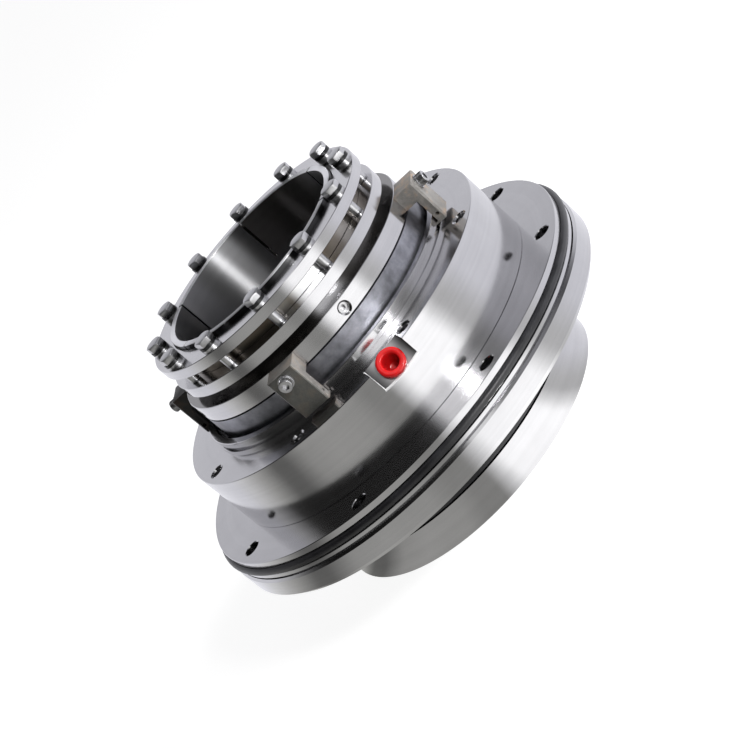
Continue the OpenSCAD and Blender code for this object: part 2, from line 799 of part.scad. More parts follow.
// Drive collar: rim for the clips and set screws, neck up to the lower clamp ring
module drive_collar() {
  mouth = (set_mouth_d - set_d) / 2;
  color(steel) difference() {
    turned([
      [seat_r, drive_z],
      [ring_r - edge, drive_z],
      [ring_r, drive_z + edge],
      [ring_r, neck_z - edge],
      [ring_r - edge, neck_z],
      [ring_r - drive_step, neck_z],
      [ring_r - drive_step, lower_clamp_z],
      [seat_r, lower_clamp_z]
    ]);
    spread(set_count, set_first, 0) translate([0, 0, clip_screw_z]) rotate([90, 0, 0])
      translate([0, 0, sleeve_r - 1]) cylinder(r = set_d / 2 + thread_clear, h = ring_r - sleeve_r + 2);
    spread(set_count, set_first, 0) translate([0, 0, clip_screw_z]) rotate([90, 0, 0])
      translate([0, 0, ring_r - mouth]) cylinder(d1 = set_d, d2 = set_mouth_d + 2 * mouth, h = 2 * mouth);
    spread(4, clip_first, 0) translate([0, 0, clip_screw_z]) rotate([90, 0, 0])
      translate([0, 0, ring_r - clip_screw_grip - 1])
      cylinder(r = clip_screw_d / 2 + thread_clear, h = clip_screw_grip + 2);
    spread(pin_count, 0, drive_pin_r)
      translate([0, 0, drive_z - 1]) cylinder(r = pin_d / 2 + thread_clear, h = drive_pin_seat + 1);
  }
}

// Set screws of the drive collar
module collar_set_screws() {
  length = ring_r - set_sink - sleeve_r - seat_clear;
  color(dark_steel) spread(set_count, set_first, 0) translate([0, 0, clip_screw_z]) rotate([90, 0, 0])
    translate([0, 0, sleeve_r + seat_clear]) difference() {
      cylinder(d = set_d, h = length);
      translate([0, 0, length - set_d / 2]) cylinder(d = set_d * 0.58, h = set_d, $fn = 6);
    }
}

// A rotating ring's cut for its sealing ring, at height z of the groove's lower side
module ring_groove(z) {
  translate([0, 0, z]) rotate_extrude()
    square([sleeve_r + seat_clear + cord + ring_clear, cord + 0.4]);
}

// Outer rotating ring, the grey ring above the collar
module outer_rotating_ring() {
  boss_r = ring_r - ring_line_depth;
  color(carbide) difference() {
    turned([
      [seat_r, outer_face_z + film],
      [ring_r - edge, outer_face_z + film],
      [ring_r, outer_face_z + film + edge],
      [ring_r, ring_top],
      [boss_r, ring_top],
      [boss_r, drive_z],
      [seat_r, drive_z]
    ]);
    ring_groove(collar_top);
    spread(pin_count, 0, drive_pin_r)
      translate([0, 0, drive_z - drive_pin_len]) cylinder(r = pin_d / 2 + thread_clear, h = drive_pin_len + 1);
  }
}

// Ring between the outer rotating ring and the sleeve
module outer_ring_o_ring() {
  color(rubber) o_ring(seat_r + cord / 2, cord, collar_top + 0.2 + cord / 2);
}

// Pins that drive the outer rotating ring
module outer_drive_pins() {
  color(dark_steel) spread(pin_count, 0, drive_pin_r)
    translate([0, 0, drive_z - drive_pin_len]) cylinder(d = pin_d, h = drive_pin_len + drive_pin_seat);
}

// A setting clip at -Y: head on the drive collar, arm down outside the collar, nib in its groove
module setting_clip() {
  bevel = 1.4;
  color(dark_steel) difference() {
    intersection() {
      translate([-clip_w / 2, 0, 0]) rotate([90, 0, 90]) linear_extrude(clip_w) polygon([
        [-ring_r + 2, clip_foot],
        [-clip_arm_r, clip_foot],
        [-clip_arm_r, clip_tip + clip_nib_h],
        [-clip_nib_r, clip_tip + clip_nib_h],
        [-clip_nib_r, clip_tip],
        [-clip_r + 0.8, clip_tip],
        [-clip_r, clip_tip + 0.8],
        [-clip_r, clip_top - 0.8],
        [-clip_r + 0.8, clip_top],
        [-ring_r + 2, clip_top]
      ]);
      translate([0, 0, clip_tip - 1]) linear_extrude(clip_top - clip_tip + 2) polygon([
        [-clip_w / 2, -ring_r + 3],
        [-clip_w / 2, -clip_r + bevel],
        [-clip_w / 2 + bevel, -clip_r],
        [clip_w / 2 - bevel, -clip_r],
        [clip_w / 2, -clip_r + bevel],
        [clip_w / 2, -ring_r + 3]
      ]);
    }
    translate([0, 0, clip_foot - 1]) cylinder(r = ring_r + seat_clear, h = clip_top - clip_foot + 2);
    translate([0, 0, clip_screw_z]) rotate([90, 0, 0]) cylinder(r = clip_screw_d / 2 + 0.3, h = clip_r + 1);
    translate([-clip_w, -(clip_arm_r + clip_r) / 2, clip_tip + clip_eye_z]) rotate([0, 90, 0])
      cylinder(d = clip_eye_d, h = 2 * clip_w);
  }
}

// Front setting clip
module setting_clip_front() {
  rotate([0, 0, clip_first]) setting_clip();
}

// Right setting clip
module setting_clip_right() {
  rotate([0, 0, clip_first + 90]) setting_clip();
}

// Rear setting clip
module setting_clip_rear() {
  rotate([0, 0, clip_first + 180]) setting_clip();
}

// Left setting clip
module setting_clip_left() {
  rotate([0, 0, clip_first + 270]) setting_clip();
}

// Cap screws of the clips
module clip_screws() {
  length = clip_washer_t + clip_head_t + clip_screw_grip - 1;
  color(steel) spread(4, clip_first, clip_r + clip_washer_t) translate([0, 0, clip_screw_z]) rotate([90, 0, 0])
    cap_screw(clip_screw_d, clip_screw_head_d, clip_screw_head_h, length);
}

// Washers of the clip screws
module clip_washers() {
  in_r = clip_screw_d / 2 + 0.3;
  out_r = clip_screw_head_d / 2 + 0.8;
  color(steel) spread(4, clip_first, clip_r) translate([0, 0, clip_screw_z]) rotate([90, 0, 0])
    turned([[in_r, 0], [out_r, 0], [out_r, clip_washer_t], [in_r, clip_washer_t]]);
}

// Inner rotating ring on the sleeve's shoulder
module inner_rotating_ring() {
  color(carbide) difference() {
    turned([
      [seat_r, shoulder_z],
      [ring_r - edge, shoulder_z],
      [ring_r, shoulder_z + edge],
      [ring_r, inner_face_z - film - edge],
      [ring_r - edge, inner_face_z - film],
      [seat_r, inner_face_z - film]
    ]);
    ring_groove(shoulder_z + inner_ring_h / 2);
    spread(pin_count, 0, drive_pin_r)
      translate([0, 0, shoulder_z - 1]) cylinder(r = pin_d / 2 + thread_clear, h = drive_pin_len);
  }
}

// Ring between the inner rotating ring and the sleeve
module inner_ring_o_ring() {
  color(rubber) o_ring(seat_r + cord / 2, cord, shoulder_z + inner_ring_h / 2 + 0.2 + cord / 2);
}

// Pins that drive the inner rotating ring
module inner_drive_pins() {
  color(dark_steel) spread(pin_count, 0, drive_pin_r)
    translate([0, 0, shoulder_z - drive_pin_len]) cylinder(d = pin_d, h = 2 * drive_pin_len - 1);
}

gland_housing();
mounting_flange();
flange_spigot();
flange_o_ring();
spigot_o_ring();
housing_o_ring();
housing_screws();
port_plug_front();
port_plug_rear();
outer_locking_pins();
inner_locking_pins();
outer_sliding_face();
outer_face_o_ring();
outer_springs();
inner_sliding_face();
inner_face_o_ring();
inner_springs();
shaft_sleeve();
sleeve_o_ring();
clamp_taper_ring();
upper_clamp_ring();
lower_clamp_ring();
clamp_bolts();
bolt_washers();
spring_washers();
drive_collar();
collar_set_screws();
outer_rotating_ring();
outer_ring_o_ring();
outer_drive_pins();
setting_clip_front();
setting_clip_right();
setting_clip_rear();
setting_clip_left();
clip_screws();
clip_washers();
inner_rotating_ring();
inner_ring_o_ring();
inner_drive_pins();
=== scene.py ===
import json
from math import cos, pi, radians, sin

import bpy
from bpy.props import FloatProperty, FloatVectorProperty, IntProperty, PointerProperty
from mathutils import Matrix, Vector
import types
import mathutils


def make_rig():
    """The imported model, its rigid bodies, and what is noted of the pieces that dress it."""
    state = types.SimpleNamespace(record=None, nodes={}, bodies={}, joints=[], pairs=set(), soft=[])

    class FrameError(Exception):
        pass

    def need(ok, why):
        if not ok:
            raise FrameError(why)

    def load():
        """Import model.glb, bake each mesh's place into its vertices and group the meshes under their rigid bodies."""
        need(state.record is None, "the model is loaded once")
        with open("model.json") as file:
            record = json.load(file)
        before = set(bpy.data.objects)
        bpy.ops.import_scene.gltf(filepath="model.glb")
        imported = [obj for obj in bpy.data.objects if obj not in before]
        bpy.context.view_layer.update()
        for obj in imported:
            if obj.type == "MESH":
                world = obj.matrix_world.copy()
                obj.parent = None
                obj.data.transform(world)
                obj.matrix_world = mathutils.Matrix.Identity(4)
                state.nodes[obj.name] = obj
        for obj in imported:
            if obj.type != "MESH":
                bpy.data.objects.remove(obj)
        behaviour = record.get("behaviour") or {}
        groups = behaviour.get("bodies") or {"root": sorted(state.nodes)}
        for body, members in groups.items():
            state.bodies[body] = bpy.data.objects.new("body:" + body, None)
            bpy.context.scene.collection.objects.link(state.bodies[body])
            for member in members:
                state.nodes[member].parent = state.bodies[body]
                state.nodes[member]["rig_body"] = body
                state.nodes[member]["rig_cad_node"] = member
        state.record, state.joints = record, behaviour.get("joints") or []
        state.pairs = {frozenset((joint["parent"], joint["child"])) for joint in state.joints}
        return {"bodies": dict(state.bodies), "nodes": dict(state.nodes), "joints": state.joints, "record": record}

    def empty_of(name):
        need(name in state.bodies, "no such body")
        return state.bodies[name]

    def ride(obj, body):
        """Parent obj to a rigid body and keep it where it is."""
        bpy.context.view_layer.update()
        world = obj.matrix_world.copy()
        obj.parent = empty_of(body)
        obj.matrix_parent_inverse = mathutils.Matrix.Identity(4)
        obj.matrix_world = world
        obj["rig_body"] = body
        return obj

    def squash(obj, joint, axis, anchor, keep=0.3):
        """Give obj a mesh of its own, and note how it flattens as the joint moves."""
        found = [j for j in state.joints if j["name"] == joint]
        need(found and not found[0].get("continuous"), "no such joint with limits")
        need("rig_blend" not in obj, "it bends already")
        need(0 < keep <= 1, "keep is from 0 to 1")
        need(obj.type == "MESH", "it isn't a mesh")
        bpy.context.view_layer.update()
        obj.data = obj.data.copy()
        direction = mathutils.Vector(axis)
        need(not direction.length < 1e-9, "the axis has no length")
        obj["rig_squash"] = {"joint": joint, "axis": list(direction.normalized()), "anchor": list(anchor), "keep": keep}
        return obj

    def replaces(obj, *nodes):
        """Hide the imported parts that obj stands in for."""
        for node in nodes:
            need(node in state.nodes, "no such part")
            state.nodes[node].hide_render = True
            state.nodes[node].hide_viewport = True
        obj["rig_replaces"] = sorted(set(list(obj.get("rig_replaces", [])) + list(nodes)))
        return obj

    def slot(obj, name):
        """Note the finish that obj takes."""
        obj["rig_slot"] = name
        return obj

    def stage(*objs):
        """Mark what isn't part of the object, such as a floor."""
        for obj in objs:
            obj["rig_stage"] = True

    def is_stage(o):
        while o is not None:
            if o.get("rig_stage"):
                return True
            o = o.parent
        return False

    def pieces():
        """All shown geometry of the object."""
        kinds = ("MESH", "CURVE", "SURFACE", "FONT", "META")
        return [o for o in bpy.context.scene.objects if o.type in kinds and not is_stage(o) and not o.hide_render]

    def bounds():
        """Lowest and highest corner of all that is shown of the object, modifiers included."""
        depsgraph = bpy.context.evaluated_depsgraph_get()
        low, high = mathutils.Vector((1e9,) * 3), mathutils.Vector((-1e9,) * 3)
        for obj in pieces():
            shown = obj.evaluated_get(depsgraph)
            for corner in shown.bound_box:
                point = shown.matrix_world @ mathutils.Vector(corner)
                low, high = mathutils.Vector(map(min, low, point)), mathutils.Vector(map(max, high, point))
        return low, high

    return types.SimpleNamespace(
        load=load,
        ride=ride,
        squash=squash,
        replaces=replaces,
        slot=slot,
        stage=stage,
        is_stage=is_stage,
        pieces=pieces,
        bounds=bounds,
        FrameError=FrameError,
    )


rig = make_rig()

bl_info = {
    "name": "Cartridge Seal Dressing",
    "version": (1, 0, 0),
    "blender": (4, 5, 0),
    "location": "View3D > Sidebar > Seal",
    "description": "Finishes, threads, plugs and studio for a cartridge mechanical seal",
    "category": "Object",
}

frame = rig.load()
NODES = frame["nodes"]
CAD_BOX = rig.bounds()

# CAD nodes by finish
GLAND_NODES = ("gland_housing",)
TURNED_NODES = ("mounting_flange", "flange_spigot", "upper_clamp_ring")
GAP_NODES = ("lower_clamp_ring", "drive_collar")
SLEEVE_NODES = ("shaft_sleeve",)
TAPER_NODES = ("clamp_taper_ring",)
BRIGHT_NODES = ("clamp_bolts", "clip_screws", "clip_washers", "collar_set_screws", "housing_screws",
                "outer_locking_pins", "inner_locking_pins", "outer_drive_pins", "inner_drive_pins",
                "outer_springs", "inner_springs", "bolt_washers")
DARK_NODES = ("spring_washers",)
RUBBER_NODES = ("flange_o_ring", "spigot_o_ring", "housing_o_ring", "outer_face_o_ring",
                "inner_face_o_ring", "sleeve_o_ring", "outer_ring_o_ring", "inner_ring_o_ring")
CARBIDE_NODES = ("outer_rotating_ring", "inner_rotating_ring")
CARBON_NODES = ("outer_sliding_face", "inner_sliding_face")
CLIP_NODES = ("setting_clip_front", "setting_clip_right", "setting_clip_rear", "setting_clip_left")

# Where the painted stretches end, in metres from the shaft axis, the foot or a port flat
FLAT_SLACK = 0.0005
FLAT_HALF_WIDTH = 0.0175
FLAT_SHADOW_WIDTH = 0.020
FLAT_HIGHLIGHT_REACH = 0.1485
FLAT_HIGHLIGHT_SIDE = -0.0163
GAP_FLOOR = 0.18797
GAP_ROOF = 0.19505
GAP_REACH = 0.1106
TAPER_BORE = 0.0856
SLEEVE_SPAN = 0.25
SLIT_FOOT = 0.18375
SLIT_CLEAR = 0.19375
SLEEVE_WALL = 0.08485
SLEEVE_END = 0.22755
CLIP_FACE = 0.1276
RECESS_RADIUS = 0.0068
RECESS_FLOOR = -0.0095
RECESS_DEPTH = 0.0135
RECESS_FADE_PER_METRE = 54.0

# Tones of painted highlights and painted shade, of brown stains and unlit stretches, and shares of the finishes' own
# tones
FLAT_EDGE_HIGHLIGHT = (0.86, 0.86, 0.87)
GAP_SHADE = (0.36, 0.350, 0.335)
GAP_FRONT_SHADE = 0.70
BROWN_DARK = (0.28, 0.240, 0.200)
BROWN_LIGHT = (0.58, 0.545, 0.505)
TAPER_HIGHLIGHT = (0.86, 0.86, 0.86)
UNLIT = (0.010, 0.009, 0.008)
SLEEVE_WALL_SHADE = (0.16, 0.16, 0.16)
SLEEVE_END_HIGHLIGHT = (0.80, 0.80, 0.81)
CLIP_FACE_SHADE = (0.46, 0.48, 0.47)
FRONT_CLIP_STAIN = 0.3
LEFT_CLIP_SHADE = 0.12
LEFT_CLIP_STAIN_SHADE = 0.14
SPRING_WASHER_TONE = 0.10
THREAD_SHADE = 0.45
THREAD_ROUGH = 0.30

# Painted shade and painted highlights round the shaft axis, each from degrees counted from -Y towards +X
GAP_SHADE_ROUND = ((-5, GAP_SHADE), (-1, GAP_FRONT_SHADE), (13, GAP_FRONT_SHADE), (18, GAP_SHADE))
TAPER_HIGHLIGHT_ROUND = ((-6, 0.0), (-2, 1.0), (13, 1.0), (18, 0.0))
TONGUE_SHADES = ((-134, 1.0), (-132, 0.26), (-74, 0.30), (-72, 1.0), (46, 1.0), (48, 0.36), (106, 0.30),
           (140, (0.48, 0.45, 0.42)), (166, (0.95, 0.90, 0.85)), (168, 1.0))

# Studio: places in metres, levels where 1 is white
KEY_PLACE = (0.62, -1.44, 0.98)
FILL_PLACE = (1.65, -0.30, 1.05)
LAMP_AIM = (0, 0, 0.12)
CAMERA_PLACE = (-0.0750, -1.4306, 0.6083)
CAMERA_ACROSS = (0.6358, -0.2886, -0.7159)
CAMERA_UPWARD = (0.7705, 0.1834, 0.6105)
CAMERA_BEHIND = (-0.0449, -0.9397, 0.3390)
CAMERA_SENSOR = 36.0
CAMERA_REACH = 60.0
FLOOR_DROP = 0.0003
FLOOR_GREY = (0.80, 0.80, 0.80)
FLOOR_SHADOW_GREY = (0.42, 0.42, 0.42)
FLOOR_LIFT = 0.88
FOOT_RADIUS = 0.110
FOOT_SHADOW = (0.004, 0.004, 0.004)
WHITE = (1.0, 1.0, 1.0)
PEAK = 3.0
FULL_LIGHT = (PEAK, PEAK, PEAK)
DIFFUSE_LIGHT = (PEAK / 2, PEAK / 2, PEAK / 2)
CEILING = ((0.0, 1.0), (0.28, 0.92), (0.40, 0.64), (0.50, 0.24), (0.62, 0.08), (0.80, 0.25), (1.0, 0.60))
COOL = (0.985, 0.985, 1.045)
WARM = (1.0, 0.995, 0.955)

# Light panels of the floor and the walls: degrees round the axis, level and tint
FLOOR_PANELS = (
    (-180, 0.95, COOL), (-117, 0.97, COOL), (-105, 0.85, WHITE), (-92, 0.52, WARM), (-80, 0.18, WARM),
    (-72, 0.18, WARM), (-60, 0.44, WARM), (-45, 0.50, WARM), (-25, 0.46, WARM), (-17, 0.36, WARM),
    (-8, 0.36, WARM), (-3, 1.00, WHITE), (2, 1.70, WHITE), (29, 1.75, WHITE), (34, 1.20, WHITE),
    (40, 0.74, WHITE), (46, 0.76, WHITE), (62, 1.00, COOL), (120, 1.02, COOL), (140, 0.90, COOL),
    (180, 0.95, COOL))
WALL_PANELS = (
    (-180, 0.88, COOL), (-135, 1.00, COOL), (-125, 0.90, WHITE), (-108, 0.10, WARM), (-97, 0.05, WARM),
    (-20, 0.05, WARM), (-8, 0.10, WARM), (-3, 1.20, WHITE), (1, 2.60, WHITE), (25, 2.60, WHITE),
    (34, 1.20, WHITE), (42, 0.66, WHITE), (50, 0.70, WHITE), (62, 1.10, COOL), (100, 1.25, COOL),
    (125, 1.05, COOL), (180, 0.88, COOL))

# Clamp bolts: head, plain shank and thread, in metres
HEAD_ROUNDING = 0.00014
HEAD_SEAT_RADIUS = 0.00615
HEAD_SEAT_STEP = 0.0003
HEAD_SEAT_SLOPE = 0.0001
HEAD_CROWN_RADIUS = 0.0060
HEAD_CROWN_DROP = 0.0009
HEAD_CLEAR = 1.02
BOLT_CREST = 0.00397
BOLT_ROOT = 0.00323
SHANK_SINK = 0.0006
SHANK_PLAIN = 0.0236
SHANK_TIP_RADIUS = 0.0033
SHANK_TIP_LENGTH = 0.0006
BOLT_THREADED = 0.0102
THREAD_CLEAR = 0.0050
THREAD_LEAD_IN = 1.3
THREAD_SPARE_TURNS = 3
BOLT_THREAD = ((BOLT_ROOT, 0), (BOLT_ROOT, 0.16), (BOLT_CREST, 0.46), (BOLT_CREST, 0.58),
               (BOLT_ROOT, 0.88), (BOLT_ROOT, 1))
BOLT_FIRST_ANGLE = 15
BOLT_SPIN_ANGLE = 37

# Clip screws: outline of the head in millimetres, the rest in metres
SCREW_HEAD = ((0, 0), (4.7, 0), (4.9, 0.08), (5.0, 0.3), (5.0, 0.6), (5.0, 5.0), (5.0, 5.4),
              (4.95, 5.66), (4.82, 5.85), (4.62, 5.96), (4.4, 6.0), (0, 6.0))
SCREW_HEAD_HEIGHT = 0.0060
KNURL_LOW = 0.001
KNURL_HIGH = 0.0045
KNURL_LEVEL = 0.1
KNURL_EDGE = 0.00009
KNURL_DEPTH = 0.00014
SOCKET_CORNER = 0.00288
SOCKET_DEPTH = 0.0030
SCREW_RADIUS = 0.0030
SCREW_SINK = 0.0005
SCREW_LENGTH = 0.0298
SOCKET_FIRST_ANGLE = 20
SOCKET_SPIN_ANGLE = 33

# Threads of the tapped holes: radii and depth in metres, widths in shares of the pitch
TAP_WALL = 0.00513
TAP_CREST = 0.00448
TAP_FOOT_SHARE = 0.40
TAP_CREST_SHARE = 0.06
TAP_TURNS = 9
TAP_DEPTH = 0.0194
TAP_FIRST_ANGLE = 10
TAP_SPIN_ANGLE = 71

# Outline of a port plug in millimetres, from the port flat's middle outward
PLUG_OUTLINE = (
    (0, -9.5), (3.2, -9.4), (3.9, -9.0), (4.2, -8.2), (6.35, 3.3), (6.5, 3.8), (6.8, 4.2), (7.3, 4.4),
    (9.4, 4.4), (10.1, 4.25), (10.6, 3.8), (10.8, 3.2), (10.8, 0.7), (10.65, 0.25), (10.3, 0.02),
    (6.8, 0.02), (6.5, -0.3), (6.4, -1.2), (5.5, -10.6), (5.1, -11.0), (0, -11.0))

# Vertices closer than this are one
MERGE = 1e-6

# Sockets of a Mix node that is set to colour
MIX_FACTOR, MIX_FIRST, MIX_SECOND, MIX_RESULT = 0, 6, 7, 2


class SealFinish(bpy.types.PropertyGroup):
    """Colours and gloss of the seal's materials"""
    steel: FloatVectorProperty(
        name="Turned steel", description="Colour of the turned steel",
        subtype="COLOR", min=0, max=1, default=(0.565, 0.562, 0.574))
    steel_rough: FloatProperty(
        name="Turned roughness", description="Roughness of the turned steel",
        subtype="FACTOR", min=0, max=1, default=0.15)
    steel_grain: FloatProperty(
        name="Turned grain", description="How far the turning marks stretch a reflection",
        subtype="FACTOR", min=0, max=1, default=0.5)
    sleeve: FloatVectorProperty(
        name="Sleeve steel", description="Colour of the ground sleeve",
        subtype="COLOR", min=0, max=1, default=(0.41, 0.41, 0.42))
    sleeve_rough: FloatProperty(
        name="Sleeve roughness", description="Roughness of the ground sleeve",
        subtype="FACTOR", min=0, max=1, default=0.33)
    sleeve_grain: FloatProperty(
        name="Sleeve grain", description="How far the grinding marks stretch a reflection",
        subtype="FACTOR", min=0, max=1, default=1.0)
    taper: FloatVectorProperty(
        name="Taper steel", description="Colour of the clamp's taper ring",
        subtype="COLOR", min=0, max=1, default=(0.46, 0.435, 0.400))
    taper_rough: FloatProperty(
        name="Taper roughness", description="Roughness of the taper ring",
        subtype="FACTOR", min=0, max=1, default=0.30)
    taper_grain: FloatProperty(
        name="Taper grain", description="How far the taper ring's marks stretch a reflection",
        subtype="FACTOR", min=0, max=1, default=0.3)
    bright: FloatVectorProperty(
        name="Fastener steel", description="Colour of bolts and screws",
        subtype="COLOR", min=0, max=1, default=(0.54, 0.54, 0.55))
    clip: FloatVectorProperty(
        name="Clip steel", description="Colour of the setting clips",
        subtype="COLOR", min=0, max=1, default=(0.305, 0.291, 0.272))
    clip_stain: FloatVectorProperty(
        name="Clip stain", description="Tan stain on the setting clips",
        subtype="COLOR", min=0, max=1, default=(0.45, 0.345, 0.265))
    carbide: FloatVectorProperty(
        name="Carbide", description="Colour of the grey rotating rings",
        subtype="COLOR", min=0, max=1, default=(0.310, 0.314, 0.350))
    carbon: FloatVectorProperty(
        name="Carbon", description="Colour of the sliding faces",
        subtype="COLOR", min=0, max=1, default=(0.045, 0.045, 0.05))
    rubber: FloatVectorProperty(
        name="Rubber", description="Colour of the sealing rings",
        subtype="COLOR", min=0, max=1, default=(0.014, 0.014, 0.016))
    plug: FloatVectorProperty(
        name="Plug plastic", description="Colour of the port plugs",
        subtype="COLOR", min=0, max=1, default=(0.72, 0.012, 0.014))


class SealStage(bpy.types.PropertyGroup):
    """Sizes and levels of the studio"""
    floor_size: FloatProperty(
        name="Floor", description="Side of the floor", unit="LENGTH", default=14.0)
    key_power: FloatProperty(
        name="Key", description="Power of the key softbox", unit="POWER", default=11.0)
    key_size: FloatProperty(
        name="Key size", description="Side of the key softbox", unit="LENGTH", default=0.26)
    fill_power: FloatProperty(
        name="Fill", description="Power of the fill softbox", unit="POWER", default=40.0)
    fill_size: FloatProperty(
        name="Fill size", description="Side of the fill softbox", unit="LENGTH", default=1.0)
    lens: FloatProperty(
        name="Lens", description="Focal length of the camera in millimetres", unit="CAMERA", default=97.0)


class SealPieces(bpy.types.PropertyGroup):
    """Sizes of the pieces modelled here"""
    bolt_circle: FloatProperty(
        name="Bolt circle", description="Radius of the clamp bolts' circle", unit="LENGTH", default=0.0976)
    bolt_seat: FloatProperty(
        name="Bolt seat", description="Height of the bolt heads' seats", unit="LENGTH", default=0.2289)
    bolt_flats: FloatProperty(
        name="Bolt flats", description="Width across the flats of the bolt heads",
        unit="LENGTH", default=0.0130)
    bolt_head: FloatProperty(
        name="Bolt head", description="Height of the bolt heads", unit="LENGTH", default=0.0053)
    bolt_length: FloatProperty(
        name="Bolt length", description="Length of the bolts below the heads",
        unit="LENGTH", default=0.0330)
    bolt_pitch: FloatProperty(
        name="Bolt pitch", description="Pitch of the bolts' thread", unit="LENGTH", default=0.00125)
    bolt_count: IntProperty(
        name="Bolts", description="Number of clamp bolts", default=12)
    tap_circle: FloatProperty(
        name="Tapped circle", description="Radius of the tapped holes' circle",
        unit="LENGTH", default=0.1385)
    tap_top: FloatProperty(
        name="Tapped top", description="Height of the gland's top face", unit="LENGTH", default=0.1480)
    tap_pitch: FloatProperty(
        name="Tapped pitch", description="Pitch of the tapped holes", unit="LENGTH", default=0.00175)
    tap_count: IntProperty(
        name="Tapped holes", description="Number of tapped holes", default=8)
    plug_reach: FloatProperty(
        name="Plug reach", description="Distance of the port flats' middles from the axis",
        unit="LENGTH", default=0.1418)
    plug_height: FloatProperty(
        name="Plug height", description="Height of the port flats' middles", unit="LENGTH", default=0.13965)
    plug_tilt: FloatProperty(
        name="Plug tilt", description="Lean of the plugs above the horizon",
        subtype="ANGLE", default=radians(41.93))
    clip_round: FloatProperty(
        name="Clip rounding", description="Rounding of the setting clips' edges",
        unit="LENGTH", default=0.0006)
    clip_reach: FloatProperty(
        name="Clip screw reach", description="Distance of the clip screws' seats from the axis",
        unit="LENGTH", default=0.1295)
    clip_height: FloatProperty(
        name="Clip screw height", description="Height of the clip screws", unit="LENGTH", default=0.18065)
    clip_first: FloatProperty(
        name="First clip", description="Angle of the front clip", subtype="ANGLE", default=radians(-25.5))
    face_travel: FloatProperty(
        name="Face travel", description="How far a sliding face gives way", unit="LENGTH", default=0.002)


def fresh_material(name):
    """A new node material with its tree and its Principled shader"""
    material = bpy.data.materials.new(name)
    material.use_nodes = True
    return material, material.node_tree, material.node_tree.nodes["Principled BSDF"]


def add_node(tree, kind, **values):
    """A shader node with its properties set"""
    made = tree.nodes.new(kind)
    for key, value in values.items():
        setattr(made, key, value)
    return made


def feed(tree, socket, value):
    """Sets a socket to a number or a colour, or links it to another socket"""
    if isinstance(value, (int, float)):
        socket.default_value = value
    elif isinstance(value, tuple):
        socket.default_value = (*value, 1)
    else:
        tree.links.new(value, socket)


def math_node(tree, operation, first, second=None):
    """A Math node fed by sockets or numbers"""
    made = add_node(tree, "ShaderNodeMath", operation=operation)
    feed(tree, made.inputs[0], first)
    if second is not None:
        feed(tree, made.inputs[1], second)
    return made.outputs[0]


def root_of_squares(tree, first, second):
    """The length of two parts at a right angle"""
    squares = [math_node(tree, "MULTIPLY", part, part) for part in (first, second)]
    return math_node(tree, "SQRT", math_node(tree, "ADD", *squares))


def ramp_node(tree, value, stops):
    """A Color Ramp with its stops, each a place and a grey level or colour"""
    made = add_node(tree, "ShaderNodeValToRGB")
    ramp = made.color_ramp
    while len(ramp.elements) < len(stops):
        ramp.elements.new(0.5)
    for element, (position, tone) in zip(ramp.elements, stops):
        element.position = position
        colour = (tone, tone, tone) if isinstance(tone, (int, float)) else tone
        element.color = (*colour, 1)
    tree.links.new(value, made.inputs["Fac"])
    return made.outputs["Color"]


def noise_node(tree, vector, scale, detail, rough):
    """A Noise texture's value"""
    made = add_node(tree, "ShaderNodeTexNoise")
    made.inputs["Scale"].default_value = scale
    made.inputs["Detail"].default_value = detail
    made.inputs["Roughness"].default_value = rough
    tree.links.new(vector, made.inputs["Vector"])
    return made.outputs["Fac"]


def mix_colour(tree, factor, first, second, blend="MIX"):
    """A colour mix fed by sockets, numbers or colours"""
    made = add_node(tree, "ShaderNodeMix", data_type="RGBA", blend_type=blend)
    feed(tree, made.inputs[MIX_FACTOR], factor)
    feed(tree, made.inputs[MIX_FIRST], first)
    feed(tree, made.inputs[MIX_SECOND], second)
    return made.outputs[MIX_RESULT]


def times(tree, first, second):
    """Two colours multiplied"""
    return mix_colour(tree, 1.0, first, second, "MULTIPLY")


def shader_node(tree, kind, **inputs):
    """A shader with its sockets set or linked"""
    made = add_node(tree, kind)
    for name, value in inputs.items():
        feed(tree, made.inputs[name], value)
    return made.outputs[0]


def mix_shaders(tree, factor, first, second):
    """One shader that gives way to another"""
    made = add_node(tree, "ShaderNodeMixShader")
    for socket, value in zip(made.inputs, (factor, first, second)):
        tree.links.new(value, socket)
    return made.outputs[0]


def object_vector(tree):
    """Object coordinates"""
    return add_node(tree, "ShaderNodeTexCoord").outputs["Object"]


def split(tree, vector):
    """The three parts of a vector"""
    parts = add_node(tree, "ShaderNodeSeparateXYZ")
    tree.links.new(vector, parts.inputs[0])
    return tuple(parts.outputs)


def lathe_parts(tree, vector):
    """Distance from the shaft axis, and height"""
    across, along, height = split(tree, vector)
    return root_of_squares(tree, across, along), height


def lathe_vector(tree, vector):
    """Distance from the shaft axis and height as a vector, so a pattern runs round like turning marks"""
    radius, height = lathe_parts(tree, vector)
    joined = add_node(tree, "ShaderNodeCombineXYZ")
    tree.links.new(radius, joined.inputs["X"])
    tree.links.new(height, joined.inputs["Z"])
    return joined.outputs[0]


def turn_ramp(tree, vector, stops):
    """A Color Ramp round the shaft axis, its stops in degrees from -Y towards +X"""
    across, along, _ = split(tree, vector)
    angle = math_node(tree, "ARCTAN2", across, math_node(tree, "MULTIPLY", along, -1.0))
    turn = math_node(tree, "ADD", math_node(tree, "DIVIDE", angle, 2 * pi), 0.5)
    return ramp_node(tree, turn, [((degrees + 180) / 360, tone) for degrees, tone in stops])


